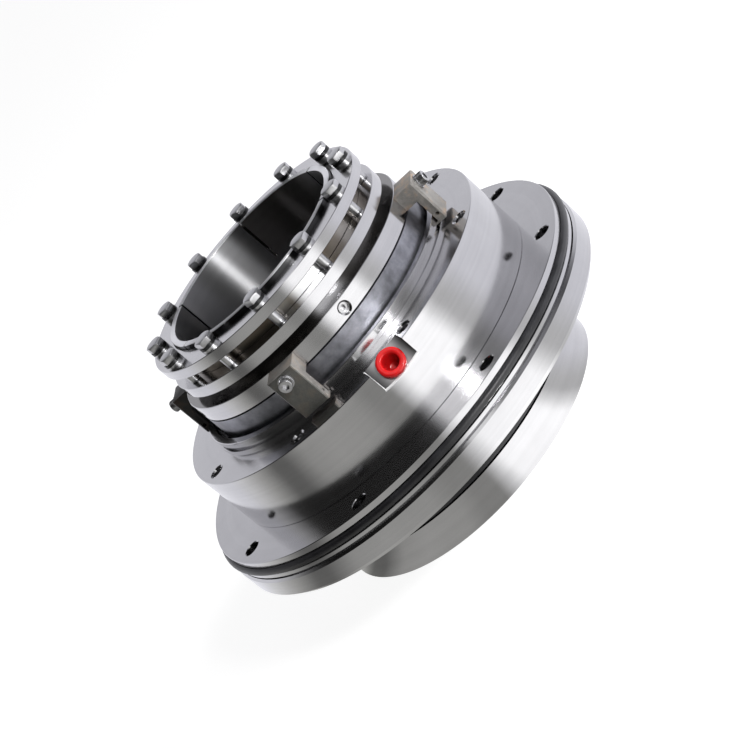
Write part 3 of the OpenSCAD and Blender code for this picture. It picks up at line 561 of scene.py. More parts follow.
def port_parts(tree, vector):
    """For both ports: distance across the flat, height above it, and distance up it from its middle"""
    sizes = bpy.context.scene.seal_pieces
    out, up = cos(sizes.plug_tilt), sin(sizes.plug_tilt)
    across, along, rise = split(tree, vector)
    reach = math_node(tree, "ABSOLUTE", along)
    off = math_node(tree, "ADD", math_node(tree, "MULTIPLY", reach, out),
                    math_node(tree, "MULTIPLY", rise, up))
    climb = math_node(tree, "SUBTRACT", math_node(tree, "MULTIPLY", rise, out),
                      math_node(tree, "MULTIPLY", reach, up))
    height = math_node(tree, "SUBTRACT", off, sizes.plug_reach * out + sizes.plug_height * up)
    upward = math_node(tree, "SUBTRACT", climb, sizes.plug_height * out - sizes.plug_reach * up)
    return across, height, upward


def toned(colour, amount):
    """A colour made lighter or darker"""
    return tuple(min(1.0, channel * amount) for channel in colour)


def between(first, second, amount):
    """A colour between two others"""
    return tuple(a + (b - a) * amount for a, b in zip(first, second))


def wire_finish(tree, shader, colour, rough, relief):
    """Links a colour, a roughness (pattern, spread, least) and a relief (pattern, strength, depth)"""
    tree.links.new(colour, shader.inputs["Base Color"])
    pattern, spread, least = rough
    grown = math_node(tree, "MULTIPLY", pattern, spread)
    tree.links.new(math_node(tree, "ADD", grown, least), shader.inputs["Roughness"])
    pattern, strength, depth = relief
    bump = add_node(tree, "ShaderNodeBump")
    bump.inputs["Strength"].default_value = strength
    bump.inputs["Distance"].default_value = depth
    tree.links.new(pattern, bump.inputs["Height"])
    tree.links.new(bump.outputs["Normal"], shader.inputs["Normal"])


def turned_material(name, colour, rough, grain, paint=None):
    """Steel with turning marks that run round the shaft axis"""
    material, tree, shader = fresh_material(name)
    place = object_vector(tree)
    lathe = lathe_vector(tree, place)
    marks = noise_node(tree, lathe, scale=2600.0, detail=3.0, rough=0.7)
    bands = noise_node(tree, lathe, scale=160.0, detail=3.0, rough=0.6)
    smudge = noise_node(tree, place, scale=22.0, detail=6.0, rough=0.62)
    cloud = ramp_node(tree, smudge, ((0.30, 0.93), (0.70, 1.0)))
    lines = ramp_node(tree, bands, ((0.30, 0.93), (0.66, 1.0)))
    tint = mix_colour(tree, smudge, colour, toned(colour, 1.06))
    tone = times(tree, tint, times(tree, cloud, lines))
    if paint is not None:
        tone = paint(tree, shader, place, tone)
    band_wear, smudge_wear = 0.05, 0.07
    wear = math_node(tree, "ADD", math_node(tree, "MULTIPLY", bands, band_wear),
                     math_node(tree, "MULTIPLY", smudge, smudge_wear))
    mean_wear = (band_wear + smudge_wear) / 2
    wire_finish(tree, shader, tone, rough=(wear, 1.0, rough - mean_wear), relief=(marks, 0.06, 0.00003))
    tangent = add_node(tree, "ShaderNodeTangent", direction_type="RADIAL", axis="Z")
    tree.links.new(tangent.outputs[0], shader.inputs["Tangent"])
    if not shader.inputs["Metallic"].is_linked:
        shader.inputs["Metallic"].default_value = 1.0
    shader.inputs["Anisotropic"].default_value = grain
    shader.inputs["Anisotropic Rotation"].default_value = 0.25
    return material


def port_flat_paint(tree, shader, place, tone):
    """Duller machined steel on both inclined port flats, with painted shade darkest along their sides and painted
    highlights along their outer ends and their sides towards -X
    """
    across, height, _ = port_parts(tree, place)
    side = math_node(tree, "ABSOLUTE", across)
    flat = math_node(tree, "MULTIPLY",
                     math_node(tree, "LESS_THAN", math_node(tree, "ABSOLUTE", height), FLAT_SLACK),
                     math_node(tree, "LESS_THAN", side, FLAT_HALF_WIDTH))
    dull = math_node(tree, "MULTIPLY", flat, 0.6)
    tree.links.new(math_node(tree, "SUBTRACT", 1.0, dull), shader.inputs["Metallic"])
    # Painted shade on each flat, darkest along its sides
    shadow = ramp_node(tree, math_node(tree, "DIVIDE", side, FLAT_SHADOW_WIDTH),
                       ((0.0, 0.70), (0.46, 0.60), (0.68, 0.24), (0.82, 0.07)))
    shaded_flat = mix_colour(tree, flat, tone, times(tree, tone, shadow))
    radius, _ = lathe_parts(tree, place)
    # Painted highlights on each flat's outer end and on its side towards -X
    ends = math_node(tree, "MAXIMUM", math_node(tree, "GREATER_THAN", radius, FLAT_HIGHLIGHT_REACH),
                     math_node(tree, "LESS_THAN", across, FLAT_HIGHLIGHT_SIDE))
    return mix_colour(tree, math_node(tree, "MULTIPLY", flat, ends), shaded_flat, FLAT_EDGE_HIGHLIGHT)


def gap_paint(tree, shader, place, tone):
    """Painted shade on the faces in the gap under the lower clamp ring, lighter at the front"""
    radius, height = lathe_parts(tree, place)
    level = math_node(tree, "MULTIPLY", math_node(tree, "GREATER_THAN", height, GAP_FLOOR),
                      math_node(tree, "LESS_THAN", height, GAP_ROOF))
    # Painted shade in the gap, with less of it at the front
    painted_shade = math_node(tree, "MULTIPLY", level, math_node(tree, "LESS_THAN", radius, GAP_REACH))
    return mix_colour(tree, painted_shade, tone, times(tree, tone, turn_ramp(tree, place, GAP_SHADE_ROUND)))


def taper_paint(tree, shader, place, tone):
    """Brown patches of the taper ring, a painted highlight at the front, and its unlit bore behind the sleeve's slots
    """
    patches = noise_node(tree, place, scale=34.0, detail=1.0, rough=0.5)
    brown = ramp_node(tree, patches, ((0.40, BROWN_DARK), (0.52, BROWN_LIGHT), (0.62, 0.96)))
    # Painted highlight over the brown patches at the front
    front_highlight = turn_ramp(tree, place, TAPER_HIGHLIGHT_ROUND)
    stained = mix_colour(tree, front_highlight, times(tree, tone, brown), TAPER_HIGHLIGHT)
    radius, _ = lathe_parts(tree, place)
    return mix_colour(tree, math_node(tree, "LESS_THAN", radius, TAPER_BORE), stained, UNLIT)


def sleeve_paint(tree, shader, place, tone):
    """Painted highlight on the sleeve's end, above painted shade on its outer wall, and painted shade that differs from
    tongue to tongue
    """
    radius, height = lathe_parts(tree, place)
    slit = ramp_node(tree, math_node(tree, "DIVIDE", height, SLEEVE_SPAN),
                     ((SLIT_FOOT / SLEEVE_SPAN, 0.0), (SLIT_CLEAR / SLEEVE_SPAN, 1.0)))
    # Painted shade that differs from tongue to tongue above the slits
    shaded_tongues = mix_colour(tree, slit, tone, times(tree, tone, turn_ramp(tree, place, TONGUE_SHADES)))
    # Painted shade on the outer wall
    outer = math_node(tree, "GREATER_THAN", radius, SLEEVE_WALL)
    painted_shade = mix_colour(tree, outer, shaded_tongues, times(tree, shaded_tongues, SLEEVE_WALL_SHADE))
    # Painted highlight on the sleeve's end
    return mix_colour(tree, math_node(tree, "GREATER_THAN", height, SLEEVE_END), painted_shade, SLEEVE_END_HIGHLIGHT)


def bright_material(name, colour):
    """Bright rolled steel of the fasteners"""
    material, tree, shader = fresh_material(name)
    place = object_vector(tree)
    dirt = noise_node(tree, place, scale=260.0, detail=5.0, rough=0.6)
    scratch = noise_node(tree, place, scale=1900.0, detail=3.0, rough=0.6)
    tone = ramp_node(tree, dirt, (
        (0.30, toned(colour, 0.84)), (0.52, colour), (0.80, toned(colour, 1.10))))
    wire_finish(tree, shader, tone, rough=(dirt, 0.14, 0.24), relief=(scratch, 0.03, 0.00004))
    shader.inputs["Metallic"].default_value = 1.0
    return material


def clip_material(name, colour, stain, shaded_face=None):
    """Milled clip steel, matt grey with tan stains, and painted shade on the outer face at a given angle"""
    material, tree, shader = fresh_material(name)
    place = object_vector(tree)
    patches = noise_node(tree, place, scale=95.0, detail=5.0, rough=0.65)
    fine = noise_node(tree, place, scale=900.0, detail=4.0, rough=0.6)
    stained = ramp_node(tree, patches, ((0.36, toned(colour, 0.80)), (0.50, colour), (0.60, stain)))
    tone = times(tree, stained, ramp_node(tree, fine, ((0.30, 0.80), (0.62, 1.0))))
    if shaded_face is not None:
        reach = add_node(tree, "ShaderNodeVectorMath", operation="DOT_PRODUCT")
        reach.inputs[1].default_value = (sin(shaded_face), -cos(shaded_face), 0)
        tree.links.new(place, reach.inputs[0])
        # Painted shade on the outer face
        outer = math_node(tree, "GREATER_THAN", reach.outputs["Value"], CLIP_FACE)
        tone = mix_colour(tree, outer, tone, times(tree, tone, CLIP_FACE_SHADE))
    wire_finish(tree, shader, tone, rough=(patches, 0.25, 0.32), relief=(fine, 0.25, 0.0001))
    shader.inputs["Metallic"].default_value = 0.4
    return material


def carbide_material(name, colour):
    """Lapped silicon carbide, mottled blue grey with rubbed smudges"""
    material, tree, shader = fresh_material(name)
    place = object_vector(tree)
    mottle = noise_node(tree, place, scale=110.0, detail=5.0, rough=0.60)
    smear = noise_node(tree, place, scale=30.0, detail=4.0, rough=0.6)
    grain = noise_node(tree, place, scale=2200.0, detail=2.0, rough=0.5)
    tone = ramp_node(tree, mottle, (
        (0.34, toned(colour, 0.74)), (0.52, colour), (0.68, toned(colour, 1.24))))
    rubbed = times(tree, tone, ramp_node(tree, smear, ((0.40, 0.74), (0.58, 1.0))))
    wire_finish(tree, shader, rubbed, rough=(smear, 0.25, 0.22), relief=(grain, 0.12, 0.00005))
    shader.inputs["Metallic"].default_value = 0.92
    return material


def rubber_material(name, colour):
    """Moulded rubber with a satin skin"""
    material, tree, shader = fresh_material(name)
    place = object_vector(tree)
    bloom = noise_node(tree, place, scale=60.0, detail=5.0, rough=0.6)
    skin = noise_node(tree, place, scale=1500.0, detail=3.0, rough=0.6)
    tone = ramp_node(tree, bloom, ((0.34, toned(colour, 0.7)), (0.70, toned(colour, 1.7))))
    wire_finish(tree, shader, tone, rough=(bloom, 0.20, 0.26), relief=(skin, 0.15, 0.00008))
    return material


def carbon_material(name, colour):
    """Carbon graphite with fine pores"""
    material, tree, shader = fresh_material(name)
    pores = noise_node(tree, object_vector(tree), scale=1200.0, detail=4.0, rough=0.6)
    tone = ramp_node(tree, pores, ((0.34, toned(colour, 0.6)), (0.66, toned(colour, 1.3))))
    wire_finish(tree, shader, tone, rough=(pores, 0.2, 0.35), relief=(pores, 0.1, 0.00005))
    return material


def recess_shade(tree, place, tone):
    """A plug's colour with painted shade in its recess, darkest on the far side"""
    across, height, along = port_parts(tree, place)
    inside = math_node(tree, "LESS_THAN", root_of_squares(tree, across, along), RECESS_RADIUS)
    level = math_node(tree, "DIVIDE", math_node(tree, "SUBTRACT", height, RECESS_FLOOR), RECESS_DEPTH)
    deep = math_node(tree, "MULTIPLY", inside, ramp_node(tree, level, ((0.70, 1.0), (1.0, 0.0))))
    far = math_node(tree, "MULTIPLY", math_node(tree, "SUBTRACT", across, along), RECESS_FADE_PER_METRE)
    dusk = ramp_node(tree, math_node(tree, "ADD", far, 0.5), ((0.28, 1.0), (0.50, 0.72), (0.74, 0.36)))
    return mix_colour(tree, deep, tone, times(tree, tone, dusk))


def plug_material(name, colour):
    """Glossy moulded plastic, with painted shade in its recess"""
    material, tree, shader = fresh_material(name)
    place = object_vector(tree)
    flow = noise_node(tree, place, scale=120.0, detail=3.0, rough=0.5)
    skin = noise_node(tree, place, scale=900.0, detail=2.0, rough=0.5)
    tone = ramp_node(tree, flow, ((0.35, toned(colour, 0.88)), (0.65, toned(colour, 1.08))))
    wire_finish(tree, shader, recess_shade(tree, place, tone),
                rough=(flow, 0.10, 0.18), relief=(skin, 0.06, 0.00008))
    shader.inputs["Coat Weight"].default_value = 0.10
    return material


def coat(made, material):
    """Gives an object one material"""
    made.data.materials.clear()
    made.data.materials.append(material)


def dress(names, material):
    """Puts one material on CAD nodes"""
    for name in names:
        coat(NODES[name], material)


def select_only(made):
    """Selects one object alone and makes it active"""
    bpy.ops.object.select_all(action="DESELECT")
    made.select_set(True)
    bpy.context.view_layer.objects.active = made


def edit_only(made):
    """Opens one object in edit mode with everything selected"""
    select_only(made)
    bpy.ops.object.mode_set(mode="EDIT")
    bpy.ops.mesh.select_all(action="SELECT")


def close_mesh():
    """Merges doubles, turns the normals outward and leaves edit mode"""
    bpy.ops.mesh.select_all(action="SELECT")
    bpy.ops.mesh.remove_doubles(threshold=MERGE)
    bpy.ops.mesh.normals_make_consistent(inside=False)
    bpy.ops.object.mode_set(mode="OBJECT")


def metres(outline):
    """Outline points from millimetres"""
    return tuple((radius / 1000, height / 1000) for radius, height in outline)


def grow_line(name, points):
    """An open line of edges through (radius, height) points, grown from one vertex"""
    bpy.ops.object.select_all(action="DESELECT")
    bpy.ops.mesh.primitive_plane_add(size=0.001)
    made = bpy.context.object
    made.name = made.data.name = name
    bpy.ops.object.mode_set(mode="EDIT")
    bpy.ops.mesh.select_mode(type="VERT")
    bpy.ops.mesh.select_all(action="SELECT")
    bpy.ops.mesh.merge(type="CENTER")
    bpy.ops.transform.translate(value=(points[0][0], 0, points[0][1]))
    for (near, low), (far, high) in zip(points, points[1:]):
        bpy.ops.mesh.extrude_region_move(TRANSFORM_OT_translate={"value": (far - near, 0, high - low)})
    return made


def turned_body(name, points, steps):
    """A line spun round the Z axis"""
    made = grow_line(name, points)
    bpy.ops.mesh.select_all(action="SELECT")
    bpy.ops.mesh.spin(steps=steps, angle=2 * pi, center=(0, 0, 0), axis=(0, 0, 1))
    close_mesh()
    return made


def cylinder(name, sides, radius, low, high):
    """A cylinder or prism on the Z axis between two heights"""
    bpy.ops.object.select_all(action="DESELECT")
    bpy.ops.mesh.primitive_cylinder_add(vertices=sides, radius=radius, depth=high - low,
                                        location=(0, 0, (low + high) / 2))
    made = bpy.context.object
    made.name = made.data.name = name
    bpy.ops.object.transform_apply(location=True, rotation=True, scale=True)
    return made


def copied_node(name, ending):
    """A copy of a CAD node's mesh as a piece of its own, merged"""
    made = bpy.data.objects.new(name + ending, NODES[name].data.copy())
    made.data.name = made.name
    bpy.context.scene.collection.objects.link(made)
    edit_only(made)
    close_mesh()
    return made


def apply_modifier(made, modifier):
    """Applies a modifier"""
    select_only(made)
    bpy.ops.object.modifier_apply(modifier=modifier.name)


def screw_line(made, pitch, turns, steps):
    """Winds a line up the Z axis, closes its ends and leaves it open for editing"""
    bpy.ops.object.mode_set(mode="OBJECT")
    thread = made.modifiers.new("thread", "SCREW")
    thread.axis = "Z"
    thread.screw_offset = pitch
    thread.iterations = turns
    thread.steps = thread.render_steps = steps
    thread.use_merge_vertices = True
    thread.merge_threshold = MERGE
    apply_modifier(made, thread)
    edit_only(made)
    bpy.ops.mesh.remove_doubles(threshold=MERGE)
    bpy.ops.mesh.fill_holes(sides=0)
    bpy.ops.mesh.select_all(action="SELECT")


def carve(made, tool, operation):
    """Cuts one body with another, which goes"""
    cut = made.modifiers.new("cut", "BOOLEAN")
    cut.operation = operation
    cut.solver = "EXACT"
    cut.object = tool
    apply_modifier(made, cut)
    bpy.data.objects.remove(tool)
    edit_only(made)
    bpy.ops.mesh.dissolve_degenerate(threshold=MERGE)
    close_mesh()


def round_edges(made, width, segments, angle):
    """Rounds the edges sharper than an angle in degrees"""
    bevel = made.modifiers.new("round", "BEVEL")
    bevel.width = width
    bevel.segments = segments
    bevel.limit_method = "ANGLE"
    bevel.angle_limit = radians(angle)
    apply_modifier(made, bevel)


def smooth(made, angle):
    """Smooth shading, with edges sharper than an angle in degrees kept"""
    select_only(made)
    bpy.ops.object.shade_smooth_by_angle(angle=radians(angle))


def join(first, second):
    """Joins two bodies"""
    select_only(first)
    second.select_set(True)
    bpy.ops.object.join()
    return first


def set_out(made, turns, body, slot, *nodes):
    """Copies one model to its places, each copy with its own mesh, and drops the model"""
    for number, turn in enumerate(turns, 1):
        copy = bpy.data.objects.new(f"{made.name}_{number}", made.data.copy())
        copy.data.name = copy.name
        copy.data.transform(turn)
        bpy.context.scene.collection.objects.link(copy)
        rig.ride(copy, body)
        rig.slot(copy, slot)
        if nodes:
            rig.replaces(copy, *nodes)
    bpy.data.objects.remove(made)


def around(angle):
    """A turn about the Z axis, from -Y towards +X"""
    return Matrix.Rotation(angle, 4, "Z")


def spaced(count, first, reach, height):
    """Seats evenly spaced round the shaft axis, from a first angle on"""
    step = 2 * pi / count
    seat = Matrix.Translation((0, -reach, height))
    return [around(first + number * step) @ seat for number in range(count)]


def panel_stops(panels):
    """Stops of a light panel ramp, from degrees, levels and tints"""
    return [(degrees, toned(tint, level / PEAK)) for degrees, level, tint in panels]


class SEAL_OT_stage(bpy.types.Operator):
    """Floor, soft lamps, pale world and camera"""
    bl_idname = "seal.stage"
    bl_label = "Stage"

    def execute(self, context):
        scene = context.scene
        stage = scene.seal_stage
        bpy.ops.object.select_all(action="DESELECT")
        bpy.ops.mesh.primitive_plane_add(size=stage.floor_size, location=(0, 0, -FLOOR_DROP))
        floor = context.object
        floor.name = "studio_floor"
        floor.data.materials.append(self.floor_material())
        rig.stage(floor)
        scene.world = self.studio_world()
        self.lamp("key_softbox", KEY_PLACE, stage.key_size, stage.key_power)
        fill = self.lamp("fill_softbox", FILL_PLACE, stage.fill_size, stage.fill_power)
        fill.visible_glossy = False
        scene.camera = self.photo_camera(stage.lens)
        scene.view_settings.view_transform = "Standard"
        return {"FINISHED"}

    def lamp(self, name, place, size, power):
        """A square softbox aimed at the seal"""
        light = bpy.data.lights.new(name, "AREA")
        light.size = size
        light.energy = power
        made = bpy.data.objects.new(name, light)
        bpy.context.scene.collection.objects.link(made)
        made.location = place
        aim = Vector(LAMP_AIM) - Vector(place)
        made.rotation_euler = aim.to_track_quat("-Z", "Y").to_euler()
        return made

    def photo_camera(self, lens):
        """A camera at the photograph's angle"""
        camera = bpy.data.objects.new("photo_camera", bpy.data.cameras.new("photo_camera"))
        bpy.context.scene.collection.objects.link(camera)
        camera.data.sensor_width = CAMERA_SENSOR
        camera.data.lens = lens
        camera.data.clip_end = CAMERA_REACH
        turn = Matrix((CAMERA_ACROSS, CAMERA_UPWARD, CAMERA_BEHIND)).transposed()
        camera.matrix_world = Matrix.Translation(CAMERA_PLACE) @ turn.to_4x4()
        return camera

    def floor_material(self):
        """Pale floor: white with the seal's shadow to the camera, light panels to gloss, with a painted shadow under
        the seal's foot
        """
        material, tree, shader = fresh_material("studio_floor")
        tree.nodes.remove(shader)
        path = add_node(tree, "ShaderNodeLightPath").outputs
        place = object_vector(tree)
        away = add_node(tree, "ShaderNodeVectorMath", operation="LENGTH")
        tree.links.new(place, away.inputs[0])
        # Painted shadow on the floor under the seal's foot, seen in gloss
        outside = math_node(tree, "GREATER_THAN", away.outputs["Value"], FOOT_RADIUS)
        panel = mix_colour(tree, outside, FOOT_SHADOW, turn_ramp(tree, place, panel_stops(FLOOR_PANELS)))
        plain = shader_node(tree, "ShaderNodeBsdfDiffuse", Color=FLOOR_GREY)
        glow = shader_node(tree, "ShaderNodeEmission", Color=panel, Strength=PEAK)
        seen = add_node(tree, "ShaderNodeAddShader")
        tree.links.new(shader_node(tree, "ShaderNodeEmission", Strength=FLOOR_LIFT), seen.inputs[0])
        tree.links.new(shader_node(tree, "ShaderNodeBsdfDiffuse", Color=FLOOR_SHADOW_GREY), seen.inputs[1])
        shine = math_node(tree, "MAXIMUM", path["Is Glossy Ray"], path["Is Transmission Ray"])
        unseen = mix_shaders(tree, shine, plain, glow)
        surface = mix_shaders(tree, path["Is Camera Ray"], unseen, seen.outputs[0])
        tree.links.new(surface, tree.nodes["Material Output"].inputs["Surface"])
        return material

    def studio_world(self):
        """White to the camera; else walls of light panels, dark at the front left, under a dim ceiling"""
        world = bpy.data.worlds.new("studio_world")
        world.use_nodes = True
        tree = world.node_tree
        path = add_node(tree, "ShaderNodeLightPath").outputs
        away = add_node(tree, "ShaderNodeTexCoord").outputs["Generated"]
        walls = turn_ramp(tree, away, panel_stops(WALL_PANELS))
        _, _, height = split(tree, away)
        room = times(tree, walls, ramp_node(tree, height, CEILING))
        full = times(tree, room, FULL_LIGHT)
        soft = times(tree, room, DIFFUSE_LIGHT)
        bright = mix_colour(tree, path["Is Diffuse Ray"], full, soft)
        colour = mix_colour(tree, path["Is Camera Ray"], bright, WHITE)
        tree.links.new(colour, tree.nodes["Background"].inputs["Color"])
        return world


class SEAL_OT_turned_steel(bpy.types.Operator):
    """Turned steel of the gland, the flange, the clamp rings, the drive collar and the sleeve"""
    bl_idname = "seal.turned_steel"
    bl_label = "Turned steel"

    def execute(self, context):
        finish = context.scene.seal_finish
        steel = (tuple(finish.steel), finish.steel_rough, finish.steel_grain)
        sleeve = (tuple(finish.sleeve), finish.sleeve_rough, finish.sleeve_grain)
        taper = (tuple(finish.taper), finish.taper_rough, finish.taper_grain)
        dress(TURNED_NODES, turned_material("turned_steel", *steel))
        dress(GLAND_NODES, turned_material("gland_steel", *steel, port_flat_paint))
        dress(GAP_NODES, turned_material("collar_steel", *steel, gap_paint))
        dress(SLEEVE_NODES, turned_material("ground_sleeve", *sleeve, sleeve_paint))
        dress(TAPER_NODES, turned_material("taper_steel", *taper, taper_paint))
        return {"FINISHED"}


class SEAL_OT_fasteners(bpy.types.Operator):
    """Bright steel of washers, screws, pins and springs"""
    bl_idname = "seal.fasteners"
    bl_label = "Fasteners"

    def execute(self, context):
        bright = tuple(context.scene.seal_finish.bright)
        dress(BRIGHT_NODES, bright_material("bright_fastener", bright))
        dress(DARK_NODES, bright_material("dark_fastener", toned(bright, SPRING_WASHER_TONE)))
        return {"FINISHED"}


class SEAL_OT_springs(bpy.types.Operator):
    """Coil springs that shorten with their sliding face"""
    bl_idname = "seal.springs"
    bl_label = "Springs"

    def execute(self, context):
        travel = context.scene.seal_pieces.face_travel
        for node, joint, fixed_end in (("outer_springs", "outer_face_slide", min),
                                       ("inner_springs", "inner_face_slide", max)):
            made = copied_node(node, "_coiled")
            smooth(made, angle=40)
            coat(made, bpy.data.materials["bright_fastener"])
            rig.ride(made, "gland")
            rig.slot(made, "fastener_steel")
            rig.replaces(made, node)
            heights = [corner.co.z for corner in made.data.vertices]
            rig.squash(made, joint, axis=(0, 0, 1), anchor=(0, 0, fixed_end(heights)),
                      keep=1 - travel / (max(heights) - min(heights)))
        return {"FINISHED"}


class SEAL_OT_clamp_bolts(bpy.types.Operator):
    """Hex bolts of the clamp, with a plain shank and a threaded end"""
    bl_idname = "seal.clamp_bolts"
    bl_label = "Clamp bolts"

    def execute(self, context):
        sizes = context.scene.seal_pieces
        head = self.head(sizes.bolt_flats, sizes.bolt_head)
        plain = self.plain_shank()
        bolt = join(join(head, plain), self.threaded_end(sizes.bolt_length, sizes.bolt_pitch))
        smooth(bolt, angle=30)
        coat(bolt, bpy.data.materials["bright_fastener"])
        seats = spaced(sizes.bolt_count, radians(BOLT_FIRST_ANGLE), sizes.bolt_circle, sizes.bolt_seat)
        turns = [seat @ around(radians(number * BOLT_SPIN_ANGLE)) for number, seat in enumerate(seats)]
        set_out(bolt, turns, "rotor", "fastener_steel", "clamp_bolts")
        return {"FINISHED"}

    def head(self, flats, height):
        """A hex head with a turned seat and crown"""
        corner = flats / 2 / cos(pi / 6)
        wide = corner * HEAD_CLEAR
        made = cylinder("clamp_bolt", 6, corner, 0, height)
        turned = turned_body("chamfer", (
            (0, 0), (HEAD_SEAT_RADIUS, 0), (HEAD_SEAT_RADIUS, HEAD_SEAT_STEP),
            (wide, HEAD_SEAT_STEP + HEAD_SEAT_SLOPE), (wide, height - HEAD_CROWN_DROP),
            (HEAD_CROWN_RADIUS, height), (0, height)), steps=48)
        carve(made, turned, "INTERSECT")
        round_edges(made, HEAD_ROUNDING, segments=2, angle=24)
        return made

    def plain_shank(self):
        """The shank from inside the head to its chamfered end"""
        end = -SHANK_PLAIN - SHANK_TIP_LENGTH
        return turned_body("plain_shank", (
            (0, SHANK_SINK), (BOLT_CREST, SHANK_SINK), (BOLT_CREST, -SHANK_PLAIN),
            (SHANK_TIP_RADIUS, end), (0, end)), steps=40)

    def threaded_end(self, length, pitch):
        """The threaded end of the shank, cut square at both ends"""
        made = grow_line("shank", [(radius, share * pitch) for radius, share in BOLT_THREAD])
        screw_line(made, pitch, int(BOLT_THREADED / pitch) + THREAD_SPARE_TURNS, steps=28)
        bpy.ops.mesh.quads_convert_to_tris()
        bpy.ops.transform.translate(value=(0, 0, -pitch * THREAD_LEAD_IN - length))
        close_mesh()
        carve(made, cylinder("ends", 32, THREAD_CLEAR, -length, BOLT_THREADED - length), "INTERSECT")
        return made


class SEAL_OT_clip_screws(bpy.types.Operator):
    """Knurled cap screws of the setting clips"""
    bl_idname = "seal.clip_screws"
    bl_label = "Clip screws"

    def execute(self, context):
        sizes = context.scene.seal_pieces
        head = turned_body("clip_screw", metres(SCREW_HEAD), steps=60)
        self.knurl(head)
        carve(head, cylinder("socket", 6, SOCKET_CORNER, SCREW_HEAD_HEIGHT - SOCKET_DEPTH,
                             SCREW_HEAD_HEIGHT + SOCKET_DEPTH), "DIFFERENCE")
        screw = join(head, cylinder("screw_shank", 32, SCREW_RADIUS, -SCREW_LENGTH, SCREW_SINK))
        smooth(screw, angle=35)
        coat(screw, bpy.data.materials["bright_fastener"])
        seats = spaced(len(CLIP_NODES), sizes.clip_first, sizes.clip_reach, sizes.clip_height)
        outward = Matrix.Rotation(pi / 2, 4, "X")
        turns = [seat @ outward @ around(radians(SOCKET_FIRST_ANGLE + SOCKET_SPIN_ANGLE * number))
                 for number, seat in enumerate(seats)]
        set_out(screw, turns, "rotor", "fastener_steel", "clip_screws")
        return {"FINISHED"}

    def knurl(self, head):
        """Sinks every face of the head's wall"""
        edit_only(head)
        bpy.ops.mesh.select_mode(type="FACE")
        bpy.ops.mesh.select_all(action="DESELECT")
        bpy.ops.object.mode_set(mode="OBJECT")
        for face in head.data.polygons:
            face.select = abs(face.normal.z) < KNURL_LEVEL and KNURL_LOW < face.center.z < KNURL_HIGH
        bpy.ops.object.mode_set(mode="EDIT")
        bpy.ops.mesh.inset(use_individual=True, thickness=KNURL_EDGE, depth=-KNURL_DEPTH)
        close_mesh()


class SEAL_OT_hole_threads(bpy.types.Operator):
    """Threads of the gland's tapped holes"""
    bl_idname = "seal.hole_threads"
    bl_label = "Hole threads"

    def execute(self, context):
        sizes = context.scene.seal_pieces
        foot, crest = sizes.tap_pitch * TAP_FOOT_SHARE, sizes.tap_pitch * TAP_CREST_SHARE
        thread = grow_line("hole_thread", (
            (TAP_WALL, -foot), (TAP_CREST, -crest), (TAP_CREST, crest), (TAP_WALL, foot)))
        bpy.ops.mesh.select_all(action="SELECT")
        bpy.ops.mesh.edge_face_add()
        bpy.ops.mesh.delete(type="ONLY_FACE")
        screw_line(thread, sizes.tap_pitch, TAP_TURNS, steps=36)
        close_mesh()
        smooth(thread, angle=30)
        # Painted shade: the threads are darker than the gland's steel
        steel = toned(tuple(context.scene.seal_finish.steel), THREAD_SHADE)
        coat(thread, turned_material("thread_steel", steel, THREAD_ROUGH, grain=0.0))
        lowest = sizes.tap_top - TAP_DEPTH
        seats = spaced(sizes.tap_count, radians(TAP_FIRST_ANGLE), sizes.tap_circle, lowest)
        turns = [seat @ around(radians(number * TAP_SPIN_ANGLE)) for number, seat in enumerate(seats)]
        set_out(thread, turns, "gland", "polished_steel")
        return {"FINISHED"}


class SEAL_OT_clips(bpy.types.Operator):
    """Setting clips with rounded edges, in matt stained steel, with painted shade on the front clip's outer face and
    over the whole left clip
    """
    bl_idname = "seal.clips"
    bl_label = "Setting clips"

    def execute(self, context):
        sizes = context.scene.seal_pieces
        finish = context.scene.seal_finish
        grey, tan = tuple(finish.clip), tuple(finish.clip_stain)
        plain = clip_material("clip_steel", grey, tan)
        # The front clip has painted shade on its outer face
        front = clip_material("clip_front", grey, between(grey, tan, FRONT_CLIP_STAIN), sizes.clip_first)
        # The left clip is the clip steel made dark as painted shade
        shaded_left = clip_material("clip_black", toned(grey, LEFT_CLIP_SHADE), toned(tan, LEFT_CLIP_STAIN_SHADE))
        finishes = {"setting_clip_front": front, "setting_clip_left": shaded_left}
        for name in CLIP_NODES:
            made = copied_node(name, "_rounded")
            edit_only(made)
            bpy.ops.mesh.dissolve_limited(angle_limit=radians(0.5))
            close_mesh()
            round_edges(made, sizes.clip_round, segments=3, angle=28)
            smooth(made, angle=35)
            coat(made, finishes.get(name, plain))
            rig.ride(made, "rotor")
            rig.slot(made, "clip_steel")
            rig.replaces(made, name)
        return {"FINISHED"}


class SEAL_OT_seal_rings(bpy.types.Operator):
    """Carbide, carbon and rubber of the rings"""
    bl_idname = "seal.seal_rings"
    bl_label = "Rings"

    def execute(self, context):
        finish = context.scene.seal_finish
        dress(CARBIDE_NODES, carbide_material("silicon_carbide", tuple(finish.carbide)))
        dress(CARBON_NODES, carbon_material("carbon_graphite", tuple(finish.carbon)))
        dress(RUBBER_NODES, rubber_material("seal_rubber", tuple(finish.rubber)))
        return {"FINISHED"}


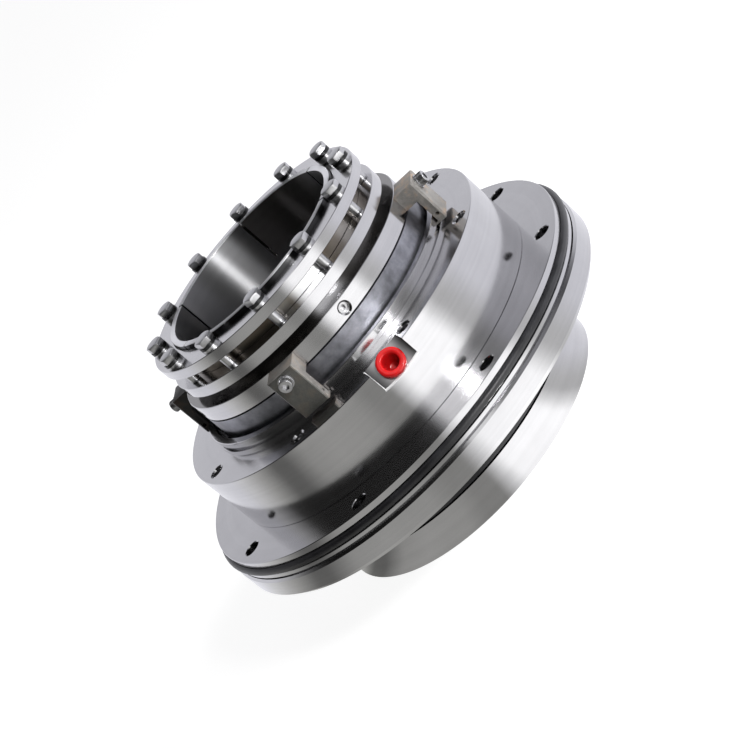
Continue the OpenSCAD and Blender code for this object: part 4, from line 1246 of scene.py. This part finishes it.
class SEAL_OT_plugs(bpy.types.Operator):
    """Moulded red plugs of the ports"""
    bl_idname = "seal.plugs"
    bl_label = "Port plugs"

    def execute(self, context):
        sizes = context.scene.seal_pieces
        plug = turned_body("port_plug", metres(PLUG_OUTLINE), steps=96)
        smooth(plug, angle=40)
        coat(plug, plug_material("plug_plastic", tuple(context.scene.seal_finish.plug)))
        seat = (Matrix.Translation((0, -sizes.plug_reach, sizes.plug_height))
                @ Matrix.Rotation(pi / 2 - sizes.plug_tilt, 4, "X"))
        for node, angle in (("port_plug_front", 0.0), ("port_plug_rear", pi)):
            made = bpy.data.objects.new(node + "_moulded", plug.data.copy())
            made.data.name = made.name
            made.data.transform(around(angle) @ seat)
            context.scene.collection.objects.link(made)
            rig.ride(made, "gland")
            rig.slot(made, "plug_plastic")
            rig.replaces(made, node)
        bpy.data.objects.remove(plug)
        return {"FINISHED"}


class SEAL_PT_panel(bpy.types.Panel):
    """Lists the pieces of the dressed seal"""
    bl_idname = "SEAL_PT_panel"
    bl_label = "Cartridge Seal"
    bl_space_type = "VIEW_3D"
    bl_region_type = "UI"
    bl_category = "Seal"

    def draw(self, context):
        for operator in OPERATORS:
            self.layout.operator(operator.bl_idname)


OPERATORS = (SEAL_OT_stage, SEAL_OT_turned_steel, SEAL_OT_fasteners, SEAL_OT_springs, SEAL_OT_clamp_bolts,
             SEAL_OT_clip_screws, SEAL_OT_hole_threads, SEAL_OT_clips, SEAL_OT_seal_rings, SEAL_OT_plugs)
CLASSES = (SealFinish, SealStage, SealPieces, *OPERATORS, SEAL_PT_panel)


def register():
    """Registers the classes and hangs the settings on the scene"""
    for made in CLASSES:
        bpy.utils.register_class(made)
    bpy.types.Scene.seal_finish = PointerProperty(type=SealFinish)
    bpy.types.Scene.seal_stage = PointerProperty(type=SealStage)
    bpy.types.Scene.seal_pieces = PointerProperty(type=SealPieces)


def unregister():
    """Takes the settings off the scene and unregisters the classes"""
    del bpy.types.Scene.seal_pieces
    del bpy.types.Scene.seal_stage
    del bpy.types.Scene.seal_finish
    for made in reversed(CLASSES):
        bpy.utils.unregister_class(made)


def main():
    """Dresses the seal, sets the stage and notes both boxes"""
    register()
    bpy.ops.seal.stage()
    bpy.ops.seal.turned_steel()
    bpy.ops.seal.fasteners()
    bpy.ops.seal.springs()
    bpy.ops.seal.clamp_bolts()
    bpy.ops.seal.clip_screws()
    bpy.ops.seal.hole_threads()
    bpy.ops.seal.clips()
    bpy.ops.seal.seal_rings()
    bpy.ops.seal.plugs()
    sizes = {"cad_box": [list(corner) for corner in CAD_BOX],
             "visual_box": [list(corner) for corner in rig.bounds()]}
    with open("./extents.json", "w") as out:
        json.dump(sizes, out)


if __name__ == "__main__":
    main()
